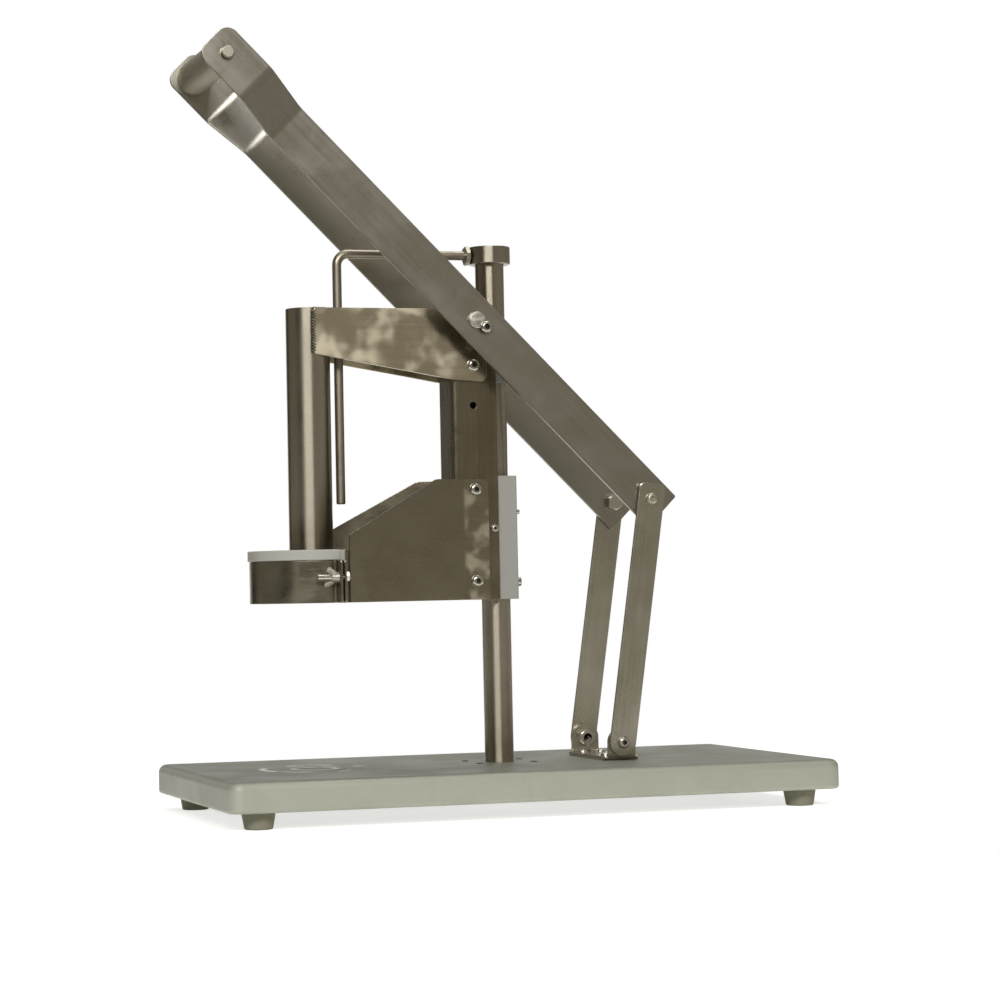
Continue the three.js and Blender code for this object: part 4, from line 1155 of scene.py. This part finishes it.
class CORER_OT_clevis(bpy.types.Operator):
    """Bend the links' bracket and set its screws and pivot bolts"""
    bl_idname = "corer.clevis"
    bl_label = "Link bracket"

    def execute(self, context):
        low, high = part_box("link_clevis")
        pivot = joints["link_pivot"]
        side, floor, bend = high.y - SHEET / 2, low.z + SHEET / 2, 4.6 * MM
        route = line((-side, high.z, 0), (-side, floor, bend), (side, floor, bend),
                     (side, high.z, 0))
        total = route_length(route)
        ear, half = 12.7 * MM, (high.x - low.x) / 2
        rise = high.z - low.z - SHEET
        step, ear_round = (half - ear) * 0.45, ear - 0.1 * MM
        outline = rounded(mirrored([
            (0, -ear, ear_round), (rise, -ear, step), (rise, -half, step),
            (total - rise, -half, step), (total - rise, -ear, step), (total, -ear, ear_round)]))
        holes = [circle(ear, 0, M8_HOLE), circle(total - ear, 0, M8_HOLE)]
        names = [f"clevis_screw_{i + 1}" for i in range(4)]
        seats = []
        for i, name in enumerate(names):
            screw = middle(name)
            holes.append(circle(total / 2 + screw.y, screw.x - pivot.x, M5_HOLE))
            seats.append(((screw.x, screw.y, low.z + SHEET), (0, 0, 1), 0.4 * i))
        bm = folded(outline, holes, SHEET, route, lambda y, z, x: (pivot.x + x, y, z))
        piece("link_bracket", bm, "link", "stand", "brushed_sheet", "link_clevis")
        screws("bracket_seat_screws", seats, BRACKET_SCREW, "bright", "stand", *names)
        under = [((x, y, low.z - 2 * MM), (0, 0, -1)) for (x, y, _), *_ in seats]
        nuts("bracket_seat_nuts", under, BRACKET_NUT, "bright", "stand")
        seat = 0.3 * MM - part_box("link_near")[0].y
        screws("link_pivot_bolts", pair(pivot, seat, 1, 0.2), FOOT_BOLT, "bright", "stand",
               "link_foot_bolt_near", "link_foot_bolt_far")
        nuts("link_pivot_nuts", pair(pivot, side - SHEET / 2, -1, 0.5), FOOT_NUT, "bright",
             "stand")
        return {"FINISHED"}


# The carriage


class CORER_OT_channel(bpy.types.Operator):
    """Bend the carriage channel with its holes"""
    bl_idname = "corer.channel"
    bl_label = "Channel"

    def execute(self, context):
        low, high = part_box("carriage_channel")
        pivot = joints["lever_pivot"]
        side, back, bend = high.y - SHEET / 2, low.x + SHEET / 2, 3 * MM
        route = line((high.x, -side, 0), (back, -side, bend), (back, side, bend),
                     (high.x, side, 0))
        total = route_length(route)
        middle_z, half = (low.z + high.z) / 2, (high.z - low.z) / 2
        spare_x, spare_z, spare = mm(19.6, 169.6, 3)
        spots = [(pivot.x, pivot.z, PIVOT_HOLE), (low.x + spare_x, low.z + spare_z, spare)]
        for node in ("upper_bracket_screw_near", "lower_bracket_screw_near_1",
                     "lower_bracket_screw_near_2"):
            spots.append((middle(node).x, middle(node).z, M5_HOLE))
        holes = []
        for x, z, radius in spots:
            for along in (high.x - x, total - (high.x - x)):
                holes.append(circle(along, z - middle_z, radius))
        outline = panel(0, -half, total, half, 1.2 * MM)
        bm = folded(outline, holes, SHEET, route, lambda x, y, z: (x, y, middle_z + z))
        piece("carriage_sheet", bm, "channel", "carriage", "polished_sheet", "carriage_channel")
        return {"FINISHED"}


class CORER_OT_guides(bpy.types.Operator):
    """Cut the plastic guide blocks and set their adjusting screws"""
    bl_idname = "corer.guides"
    bl_label = "Guide blocks"

    def execute(self, context):
        post = middle("guide_post")
        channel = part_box("carriage_channel")[1]
        waist, shoulder = channel.y - 3.5 * MM, channel.x + 0.3 * MM
        bore, ease, nook, corner, rim = mm(12.85, 0.7, 0.3, 1.6, 0.6)
        for name in ("lower", "upper"):
            low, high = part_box(f"guide_block_{name}")
            outline = rounded(mirrored([
                (low.x, -waist, ease), (shoulder, -waist, nook), (shoulder, low.y, ease),
                (high.x, low.y, corner)]))
            bm = blank(outline, [circle(post.x, post.y, bore, 64)], high.z - low.z, rim)
            moved(bm, Matrix.Translation((0, 0, (low.z + high.z) / 2)))
            piece(f"guide_{name}", bm, "plastic", "carriage", "white_plastic",
                  f"guide_block_{name}")
        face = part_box("guide_block_lower")[1].x + 0.1 * MM
        for i, radius in ((1, 4.4), (2, 2.3)):
            low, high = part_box(f"guide_adjuster_{i}")
            place = ((face, 0, (low.z + high.z) / 2), (1, 0, 0), 0.3)
            sizes = (radius * MM, high.x - face, *mm(2.3, 3, 2.5, 2))
            screws(f"adjusting_screw_{i}", [place], sizes, "bright", "carriage",
                   f"guide_adjuster_{i}", flat=0.88)
        behind, below_top = mm(4, 191)
        seat = Vector((channel.x - behind, 0, channel.z - below_top))
        screws("guide_clamp_screws", pair(seat, channel.y, 1, 0.2), GUIDE_SCREW, "bright",
               "carriage")
        return {"FINISHED"}


class CORER_OT_upper_bracket(bpy.types.Operator):
    """Cut the two plates between the channel and the core tube, and weld them to the tube"""
    bl_idname = "corer.upper_bracket"
    bl_label = "Upper bracket"

    def execute(self, context):
        cutter = context.scene.corer_cutter
        pivot, screw = joints["lever_pivot"], middle("upper_bracket_screw_near")
        low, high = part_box("upper_bracket_near")
        outline = rounded([
            (low.x, high.z - 40 * MM, 0.8 * MM), (high.x - 31 * MM, low.z + 2.2 * MM, 14 * MM),
            (high.x, low.z, 6 * MM), (high.x, high.z, 6 * MM), (low.x, high.z, 1.5 * MM)])
        holes = [circle(pivot.x, pivot.z, 5.2 * MM), circle(screw.x, screw.z, M5_HOLE)]
        lines, top_end, low_end = [], *mm(3, 37)
        for side, name in SIDES:
            low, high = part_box(f"upper_bracket_{name}")
            y = (low.y + high.y) / 2
            bm = blank(outline, holes, high.y - low.y, context.scene.corer_sheet.ease)
            piece(f"upper_plate_{name}", moved(bm, upright(y)), "plate", "carriage",
                  "polished_sheet", f"upper_bracket_{name}")
            edge = low.x - 0.3 * MM
            lines.append([(edge, y, high.z - top_end), (edge, y, high.z - low_end)])
            inner = side * (abs(y) - SHEET / 2)
            lines.append([(edge + 1 * MM, inner, high.z + 0.1 * MM - cutter.bead * 0.6),
                          (edge + 13 * MM, inner - side * 4 * MM, high.z - cutter.bead * 0.6)])
        welds("tube_welds", lines, cutter.bead, cutter.seed)
        return {"FINISHED"}


# Length of an arm's tab on the channel, and where the arm's end meets the ring, from its middle
ARM_TAB, ARM_END = 22.4 * MM, 25.5 * MM


class CORER_OT_lower_bracket(bpy.types.Operator):
    """Bend the two flared arms between the channel and the cutter ring"""
    bl_idname = "corer.lower_bracket"
    bl_label = "Lower bracket"

    def execute(self, context):
        cutter, tube = context.scene.corer_cutter, middle("core_tube")
        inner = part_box("carriage_channel")[1].y
        y = inner + SHEET / 2
        space = cutter.ring_radius - 0.05 * MM
        reach = turned([Vector(p) for p in ((0, 0.1), (space, 0.1), (space, 0.4), (0, 0.4))], 128)
        cut = solid("ring_space", moved(reach, on_axis("core_tube")), "ring")
        lines, weld_low, weld_high = [], *mm(3, 42)
        corner, end_corner, end_rise, slope_from, slope_corner = mm(4, 0.5, 57, 50.4, 9)
        for side, name in SIDES:
            low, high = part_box(f"lower_bracket_{name}")
            bend_x = high.x - ARM_TAB
            end = Vector((tube.x + ARM_END, math.sqrt(cutter.ring_radius ** 2 - ARM_END ** 2)))
            way = (end - Vector((bend_x, inner))).normalized()
            start = Vector((bend_x - SHEET / 2 * math.tan(math.asin(way.y) / 2), y))
            stop = start + way * ((end.x - bend_x) / way.x + 6 * MM)
            route = line((high.x, y, 0), (start.x, start.y, 5 * MM), (stop.x, stop.y, 0))
            total, rise = route_length(route), high.z - low.z
            outline = rounded([
                (0, 0, corner), (total, 0, end_corner), (total, end_rise, end_corner),
                (slope_from, rise, slope_corner), (0, rise, corner)])
            holes = [circle(high.x - s.x, s.z - low.z, M5_HOLE) for s in (
                middle("lower_bracket_screw_near_1"), middle("lower_bracket_screw_near_2"))]
            bm = folded(outline, holes, SHEET, route,
                        lambda x, v, z, side=side, low=low: (x, side * v, low.z + z))
            piece(f"lower_arm_{name}", bm, "arm", "carriage", "polished_sheet",
                  f"lower_bracket_{name}", cutters=[cut])
            turn = math.atan2(end.y, end.x - tube.x)
            radius = cutter.ring_radius + 0.4 * MM
            x, v = tube.x + radius * math.cos(turn), side * radius * math.sin(turn)
            lines.append([(x, v, low.z + weld_low), (x, v, low.z + weld_high)])
        bpy.data.objects.remove(cut)
        welds("ring_welds", lines, cutter.bead * 0.9, cutter.seed + 1)
        return {"FINISHED"}


class CORER_OT_bracket_screws(bpy.types.Operator):
    """Set the button screws of both brackets"""
    bl_idname = "corer.bracket_screws"
    bl_label = "Bracket screws"

    def execute(self, context):
        hardware = context.scene.corer_hardware
        places, names = [], []
        for side, name in SIDES:
            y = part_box(f"upper_bracket_{name}")[side > 0].y
            for node in (f"upper_bracket_screw_{name}", f"lower_bracket_screw_{name}_1",
                         f"lower_bracket_screw_{name}_2"):
                at = middle(node)
                places.append(((at.x, y, at.z), (0, side, 0), 0.35 + 0.5 * len(places)))
                names.append(node)
        sizes = (hardware.button_head, hardware.button_height, M5, 12 * MM,
                 hardware.button_socket, 1.9 * MM)
        screws("bracket_screws", places, sizes, "bright", "carriage", *names)
        return {"FINISHED"}


# Thickness of the tabs where the two bands of the ring are clamped together
TAB = 2.4 * MM


class CORER_OT_cutter(bpy.types.Operator):
    """Turn the core tube, the blade and its holder, and bend the two bands of the ring"""
    bl_idname = "corer.cutter"
    bl_label = "Cutter"

    def execute(self, context):
        sizes, tube = context.scene.corer_cutter, middle("core_tube")
        centre = on_axis("core_tube")
        self.edged(centre, "core_tube", (sizes.tube_wall, 2.4 * MM, 0.5 * MM, 0.4 * MM), 96,
                   ("core_pipe", "bar", "carriage", "bar_steel"))
        self.bands(sizes, tube)
        self.holder(sizes, centre)
        self.edged(centre, "peeling_blade", mm(1.5, 2, 0.4, 0.3), 120,
                   ("round_blade", "blade", "carriage", "blade_steel"))
        return {"FINISHED"}

    def edged(self, centre, node, section, sides, words):
        """A tube ground to an edge at its lower end, by wall, ground height and roundings."""
        low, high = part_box(node)
        wall, ground, shoulder, ease = section
        outer = (high.x - low.x) / 2
        profile = ring_profile(
            (outer - wall, low.z, 0.05 * MM), (outer, low.z + ground, shoulder),
            (outer, high.z, ease), (outer - wall, high.z, ease))
        name, material, body, slot = words
        piece(name, moved(turned(profile, sides), centre), material, body, slot, node)

    def bands(self, sizes, tube):
        """The two half bands: each runs from one tab round the ring to the other tab."""
        radius = sizes.ring_radius - sizes.band / 2
        clamp = middle("clamp_bolt_near")
        tabs_high, bend, corner, nook = mm(36, 3, 2, 1)
        seam, steps = math.radians(5), 44
        for name, ahead, slot in (("rear", 1, "polished_sheet"), ("front", -1, "brushed_sheet")):
            low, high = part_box(f"ring_band_{name}")
            edge = low.x + TAB if ahead > 0 else high.x - TAB
            tab_x = edge - ahead * sizes.band / 2
            reach, full = high.y, high.z - low.z
            foot = math.sqrt(radius ** 2 - (tab_x - tube.x) ** 2)
            meeting = math.atan2(foot, tab_x - tube.x)
            first = -meeting + ahead * seam
            last = meeting - seam if ahead > 0 else meeting + seam - math.tau
            arc = [first + (last - first) * k / steps for k in range(steps + 1)]
            route = line(
                (tab_x, -reach, 0), (tab_x, -foot, bend),
                *[(tube.x + radius * math.cos(a), radius * math.sin(a), 0) for a in arc],
                (tab_x, foot, bend), (tab_x, reach, 0))
            total, tab = route_length(route), reach - foot + 4 * MM
            outline = panel(0, 0, total, full, corner)
            if full > tabs_high + MM:
                outline = rounded([
                    (0, 0, corner), (total, 0, corner), (total, tabs_high, corner),
                    (total - tab, tabs_high, nook), (total - tab, full, corner),
                    (tab, full, corner), (tab, tabs_high, nook), (0, tabs_high, corner)])
            holes = [circle(x, clamp.z - low.z, M5_HOLE)
                     for x in (reach + clamp.y, total - (reach + clamp.y))]
            bm = folded(outline, holes, sizes.band, route,
                        lambda x, y, z, low=low: (x, y, low.z + z))
            piece(f"ring_{name}", bm, "ring", "carriage", slot, f"ring_band_{name}")

    def holder(self, sizes, centre):
        """The plastic holder, with its lip over the front band."""
        low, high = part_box("blade_holder")
        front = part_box("ring_band_front")[1]
        outer = sizes.ring_radius - sizes.band - 0.3 * MM
        sleeve = tube_profile(outer - 5 * MM, outer, low.z, high.z - 0.3 * MM, 0.5 * MM)
        edge = math.acos((front.x - centre.translation.x) / sizes.ring_radius) + 0.004
        rim = tube_profile(outer - 1 * MM, sizes.ring_radius + sizes.lip, front.z + 0.3 * MM,
                           high.z, 0.9 * MM)
        lip = turned(rim, 90, edge, math.tau - 2 * edge)
        piece("blade_seat", moved(merged(turned(sleeve, 120), lip), centre), "holder",
              "carriage", "white_plastic", "blade_holder")


class CORER_OT_clamps(bpy.types.Operator):
    """Set the clamp bolts and wing nuts of the ring"""
    bl_idname = "corer.clamps"
    bl_label = "Ring clamps"

    def execute(self, context):
        tilt = context.scene.corer_hardware.wing_tilt
        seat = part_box("ring_band_rear")[0].x + TAB
        bolt = middle("clamp_bolt_near")
        places = [((seat, side * -bolt.y, bolt.z), (1, 0, 0), 0.2 + side) for side, _ in SIDES]
        nuts("clamp_bolts", places, CLAMP_BOLT, "bright", "carriage", "clamp_bolt_near",
             "clamp_bolt_far")
        hub = turned(line(mm(0, 0, 0), mm(4.6, 0, 0.5), mm(3.7, 6.4, 1), mm(2.6, 7, 0),
                          mm(0, 7, 0)), 32)
        ear = [mm(3.2, 0.6, 1), mm(6.8, 4, 1.5), mm(9.9, 8.4, 1.2), mm(9.9, 11.9, 1.6),
               mm(5.6, 11.9, 2), mm(2.7, 6.4, 0.8)]
        wings = blank(rounded(mirrored(ear, -1, 1)), [], 2.2 * MM, 0.8 * MM)
        nut_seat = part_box("wing_nut_near")[1].x
        places = [((nut_seat, side * -bolt.y, bolt.z), (-1, 0, 0), tilt * side)
                  for side, _ in SIDES]
        copies("wing_nuts", places, merged(hub, moved(wings, upright(0))), "dull", "carriage",
               "bright_fasteners", "wing_nut_near", "wing_nut_far")
        return {"FINISHED"}


class CORER_OT_pivot(bpy.types.Operator):
    """Set the spacers, domed nuts and bolt of the lever's pivot"""
    bl_idname = "corer.pivot"
    bl_label = "Lever pivot"

    def execute(self, context):
        pivot = joints["lever_pivot"]
        low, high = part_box("pivot_spacer_far")
        ring = turned(tube_profile(5 * MM, 8 * MM, 0, high.y - low.y, 0.4 * MM), 48)
        copies("pivot_spacers", pair(pivot, low.y), ring, "link", "carriage", "brushed_sheet",
               "pivot_spacer_near", "pivot_spacer_far")
        low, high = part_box("pivot_nut_far")
        seat = low.y
        tall, skirt, waist, crown, flange = high.y - seat, *mm(1.9, 7.9, 2.6, 9)
        dome = [Vector((waist - crown * (1 - math.cos(a)), skirt + (tall - skirt) * math.sin(a)))
                for a in (QUARTER * k / FOLD_STEPS for k in range(1, FOLD_STEPS + 1))]
        profile = [*line((0, 0, 0), (flange, 0, 0.3 * MM), (flange, 1.6 * MM, 0.6 * MM),
                         (waist, skirt, 0)), *dome, Vector((0, tall))]
        near, far = pair(pivot, seat)
        copies("pivot_dome", [far], turned(profile, 48), "bright", "carriage",
               "bright_fasteners", "pivot_nut_far")
        disc = headed_pin(-2 * seat, 5 * MM, *mm(7.4, 2.8, 1.2, 3.4), 48)
        copies("pivot_pin", [near], disc, "worn", "carriage", "bright_fasteners",
               "pivot_nut_near", "pivot_bolt")
        along, proud, below = mm(7.4, 3.5, 6.2)
        keeper = pivot + Vector((along, -(seat + proud), -below))
        screws("pivot_keeper", [(keeper, (0, -1, 0), 0.3)], KEEPER_SCREW, "bright", "lever")
        return {"FINISHED"}


# The lever and the links

# Along the lever from its pivot to the ends of the bars' tails and to the studs in them
TAIL_END, TAIL_STUD = 238 * MM, 221.5 * MM
# The joggle ends this far from the grip, and is this long and deep; the bars go on beyond it
JOGGLE_END, JOGGLE, JOGGLE_DEPTH, BEYOND_GRIP = mm(36, 40.5, 18.5, 17.5)
LEVER_HOLE = 4.3 * MM


class CORER_OT_lever(bpy.types.Operator):
    """Bend the two flat bars of the hand lever"""
    bl_idname = "corer.lever"
    bl_label = "Lever bars"

    def execute(self, context):
        sheet = context.scene.corer_sheet
        place = leaning("lever_pivot", sheet.lever_angle)
        half = sheet.lever_width / 2
        joggle_end = sheet.grip_reach - JOGGLE_END
        for side, name in SIDES:
            low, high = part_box(f"lever_bar_{name}")
            wide = max(abs(low.y), abs(high.y)) - SHEET / 2
            narrow = wide - JOGGLE_DEPTH
            route = line(
                (TAIL_END, narrow, 0), (JOGGLE - joggle_end, narrow, sheet.joggle_bend),
                (-joggle_end, wide, sheet.joggle_bend),
                (-(sheet.grip_reach + BEYOND_GRIP), wide, 0))
            total = route_length(route)
            outline = rounded(mirrored([(0, -half, 1.5 * MM), (total, -half, 11 * MM)]))
            holes = [circle(x, 0, radius) for x, radius in (
                (TAIL_END, PIVOT_HOLE), (16.5 * MM, LEVER_HOLE),
                (total - BEYOND_GRIP, LEVER_HOLE))]
            bm = folded(outline, holes, SHEET, route,
                        lambda x, y, z, side=side: place @ Vector((x, side * y, z)))
            piece(f"lever_flat_{name}", bm, "lever", "lever", "brushed_sheet",
                  f"lever_bar_{name}")
        return {"FINISHED"}


class CORER_OT_grip(bpy.types.Operator):
    """Fit the grip tube with its through bolt, and the studs in the lever's tail"""
    bl_idname = "corer.grip"
    bl_label = "Grip and tail studs"

    def execute(self, context):
        sheet = context.scene.corer_sheet
        place = leaning("lever_pivot", sheet.lever_angle)
        low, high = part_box("grip_tube")
        half = (high.y - low.y) / 2
        centre = place @ Vector((-sheet.grip_reach, 0, 0))
        tube = turned(tube_profile(13 * MM, 15 * MM, -half, half, 0.6 * MM), 96)
        piece("grip_pipe", moved(tube, aimed((0, 1, 0), centre)), "grip", "lever",
              "polished_sheet", "grip_tube")
        low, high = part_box("grip_nut")
        tall = high.y - low.y
        bolt = headed_pin(-2 * low.y, M8, 5.3 * MM, tall, 0.8 * MM, tall, 40)
        near, far = pair(centre, low.y, 1, 0.25)
        copies("grip_bolt_round", [near[:2]], bolt, "dull", "lever", "bright_fasteners",
               "grip_bolt")
        nuts("grip_bolt_nut", [far], (12 * MM, tall, *mm(4.1, 0.2, 0)), "bright", "lever",
             "grip_nut")
        stud = place @ Vector((TAIL_STUD, 0, 0))
        end, inner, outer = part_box("tail_stud_far")[1].y, 42 * MM, 45.8 * MM
        nuts("tail_nuts", pair(stud, inner, -1, 0.6), (*mm(13, 6.5, 4, 0.3), end - inner),
             "bright", "lever", "tail_stud_near", "tail_stud_far")
        washer = turned(tube_profile(M8, 8 * MM, 0, end - outer, 0.25 * MM), 48)
        copies("tail_washers", pair(stud, outer), washer, "bright", "lever",
               "bright_fasteners")
        return {"FINISHED"}


class CORER_OT_links(bpy.types.Operator):
    """Cut the two links and set their upper bolts"""
    bl_idname = "corer.links"
    bl_label = "Links"

    def execute(self, context):
        sheet = context.scene.corer_sheet
        place = leaning("link_pivot", sheet.link_lean)
        beyond, corner, short = mm(14, 5, 0.05)
        half, top = sheet.link_width / 2, sheet.link_length + beyond
        foot = half - short
        outline = rounded([(-half, -half, foot), (half, -half, foot), (half, top, corner),
                           (-half, top, corner)])
        holes = [circle(0, 0, M8_HOLE), circle(0, sheet.link_length, M8_HOLE)]
        for _, name in SIDES:
            low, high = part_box(f"link_{name}")
            bm = blank(outline, holes, high.y - low.y, sheet.link_ease)
            piece(f"link_flat_{name}", moved(bm, place @ upright((low.y + high.y) / 2)), "link",
                  "links", "brushed_sheet", f"link_{name}")
        seat = place @ Vector((0, 0, sheet.link_length))
        screws("link_head_screws", pair(seat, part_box("link_far")[1].y, 1, 0.3),
               LINK_SCREW, "dull", "links", "link_top_bolt_near", "link_top_bolt_far")
        return {"FINISHED"}


# Stage: what metal shows of the room, from left (-1) to right (1) of the view

ROOM = (
    (-0.9, (0.2, 0.185, 0.15)), (-0.76, (0.05, 0.042, 0.032)), (-0.52, (0.04, 0.034, 0.026)),
    (-0.48, (0.6, 0.56, 0.47)), (-0.4, (0.6, 0.56, 0.47)), (-0.36, (0.05, 0.042, 0.032)),
    (-0.2, (0.13, 0.112, 0.085)), (0.3, (0.14, 0.119, 0.09)), (0.5, (0.28, 0.25, 0.2)),
    (1.0, (0.3, 0.28, 0.24)))
WHITE = (1, 1, 1, 1)
FLOOR_GLOW = 0.66
# Where the white backdrop ends, as the cosine of the angle from straight ahead
BACKDROP_EDGE = (0.87, 0.94)
# The camera's sensor in millimetres, and how far its picture is shifted, in widths
SENSOR, SHIFT = 36, (0.101, -0.062)


class CORER_OT_stage(bpy.types.Operator):
    """Set the floor, the lamps, the surroundings and the camera"""
    bl_idname = "corer.stage"
    bl_label = "Stage"

    def execute(self, context):
        sizes = context.scene.corer_stage
        context.scene.view_settings.view_transform = "Standard"
        self.floor(sizes)
        self.surroundings(context, sizes)
        target = Vector((-0.03, 0, 0.3))
        self.lamp("key_lamp", (-1.35, -3.5, 2.3), target, 3.0, 0.9, sizes.key)
        self.lamp("top_lamp", (0.3, 0.4, 2.6), target, 1.6, 1.6, sizes.top)
        self.camera(context, sizes)
        return {"FINISHED"}

    def floor(self, sizes):
        bm = bmesh.new()
        bmesh.ops.create_grid(bm, x_segments=1, y_segments=1, size=1)
        moved(bm, Matrix.LocRotScale(Vector((0.05, 0.1, 0)), None, Vector((0.8, 0.6, 1))))
        mesh = mesh_of(bm, "floor")
        made = bpy.data.materials.new("floor")
        tree = emptied(made)
        matt = add(tree, "ShaderNodeBsdfDiffuse", {"Color": (*sizes.floor, 1)}).outputs[0]
        glow = add(tree, "ShaderNodeEmission", {
            "Color": WHITE, "Strength": times(tree, self.seen(tree), FLOOR_GLOW)}).outputs[0]
        both = add(tree, "ShaderNodeAddShader", {0: matt, 1: glow}).outputs[0]
        add(tree, "ShaderNodeOutputMaterial", {"Surface": both})
        mesh.materials.append(made)
        shown("floor", mesh)

    def seen(self, tree):
        """1 for rays from the camera and for those that metal sends on, 0 for lighting."""
        path = add(tree, "ShaderNodeLightPath").outputs
        total = plus(tree, path["Is Camera Ray"], path["Is Glossy Ray"])
        return math_node(tree, "MINIMUM", plus(tree, total, path["Is Transmission Ray"]), 1.0)

    def surroundings(self, context, sizes):
        """White for the camera; metal shows the white backdrop with a dim room beside it."""
        world = bpy.data.worlds.new("studio")
        tree = emptied(world)
        way = add(tree, "ShaderNodeTexCoord").outputs["Object"]
        ahead, aside = (vector_node(tree, "DOT_PRODUCT", way, (math.cos(a), math.sin(a), 0), 1)
                        for a in (QUARTER - sizes.azimuth, -sizes.azimuth))
        ramp = add(tree, "ShaderNodeValToRGB", {0: plus(tree, times(tree, aside, 0.5), 0.5)})
        while len(ramp.color_ramp.elements) < len(ROOM):
            ramp.color_ramp.elements.new(0.5)
        for element, (at, colour) in zip(ramp.color_ramp.elements, ROOM):
            element.position = (at + 1) / 2
            element.color = (*(sizes.room * part for part in colour), 1)
        backdrop = ramped(tree, ahead, *BACKDROP_EDGE)
        room = mix_colour(tree, backdrop, ramp.outputs[0], WHITE)
        lit = mix_colour(tree, self.seen(tree), (*[sizes.ambient] * 3, 1), room)
        camera = add(tree, "ShaderNodeLightPath").outputs["Is Camera Ray"]
        sky = add(tree, "ShaderNodeBackground", {
            "Color": mix_colour(tree, camera, lit, WHITE), "Strength": 1.0}).outputs[0]
        add(tree, "ShaderNodeOutputWorld", {"Surface": sky})
        context.scene.world = world

    def lamp(self, name, place, target, width, height, power):
        data = bpy.data.lights.new(name, "AREA")
        data.shape = "RECTANGLE"
        data.size, data.size_y, data.energy = width, height, power
        made = shown(name, data)
        made.location = place
        made.rotation_euler = (target - Vector(place)).to_track_quat("-Z", "Y").to_euler()

    def camera(self, context, sizes):
        data = bpy.data.cameras.new("camera")
        data.sensor_width = SENSOR
        data.lens = sizes.lens
        data.shift_x, data.shift_y = SHIFT
        data.clip_start = 0.01
        made = shown("camera", data)
        across, ahead = math.sin(sizes.azimuth), math.cos(sizes.azimuth)
        flat = math.cos(sizes.pitch)
        view = Vector((across * flat, ahead * flat, math.sin(sizes.pitch)))
        level = Vector((ahead, -across, 0))
        rise = level.cross(view)
        right = level * math.cos(sizes.roll) + rise * math.sin(sizes.roll)
        up = rise * math.cos(sizes.roll) - level * math.sin(sizes.roll)
        turn = Matrix((right, up, -view)).transposed().to_4x4()
        made.matrix_world = Matrix.Translation(sizes.place) @ turn
        context.scene.camera = made


OPERATORS = (
    CORER_OT_stage, CORER_OT_base, CORER_OT_feet, CORER_OT_post, CORER_OT_plate_screws,
    CORER_OT_ejector, CORER_OT_clevis, CORER_OT_channel, CORER_OT_guides,
    CORER_OT_upper_bracket, CORER_OT_lower_bracket, CORER_OT_bracket_screws, CORER_OT_cutter,
    CORER_OT_clamps, CORER_OT_pivot, CORER_OT_lever, CORER_OT_grip, CORER_OT_links)

GROUPS = {
    "corer_base": CorerBase, "corer_sheet": CorerSheet, "corer_cutter": CorerCutter,
    "corer_hardware": CorerHardware, "corer_finish": CorerFinish, "corer_stage": CorerStage}


class CORER_PT_panel(bpy.types.Panel):
    """The corer's pieces and their sizes"""
    bl_idname = "CORER_PT_panel"
    bl_label = "Pineapple peeler corer"
    bl_space_type = "VIEW_3D"
    bl_region_type = "UI"
    bl_category = "Corer"

    def draw(self, context):
        for operator in OPERATORS:
            self.layout.operator(operator.bl_idname)
        for name, group in GROUPS.items():
            box = self.layout.box()
            for key in group.__annotations__:
                box.prop(getattr(context.scene, name), key)


def register():
    for group in GROUPS.values():
        bpy.utils.register_class(group)
    for name, group in GROUPS.items():
        setattr(bpy.types.Scene, name, PointerProperty(type=group))
    for operator in OPERATORS:
        bpy.utils.register_class(operator)
    bpy.utils.register_class(CORER_PT_panel)


def unregister():
    bpy.utils.unregister_class(CORER_PT_panel)
    for operator in reversed(OPERATORS):
        bpy.utils.unregister_class(operator)
    for name in GROUPS:
        delattr(bpy.types.Scene, name)
    for group in reversed(GROUPS.values()):
        bpy.utils.unregister_class(group)


def main():
    register()
    for operator in OPERATORS:
        family, call = operator.bl_idname.split(".")
        getattr(getattr(bpy.ops, family), call)()


if __name__ == "__main__":
    main()
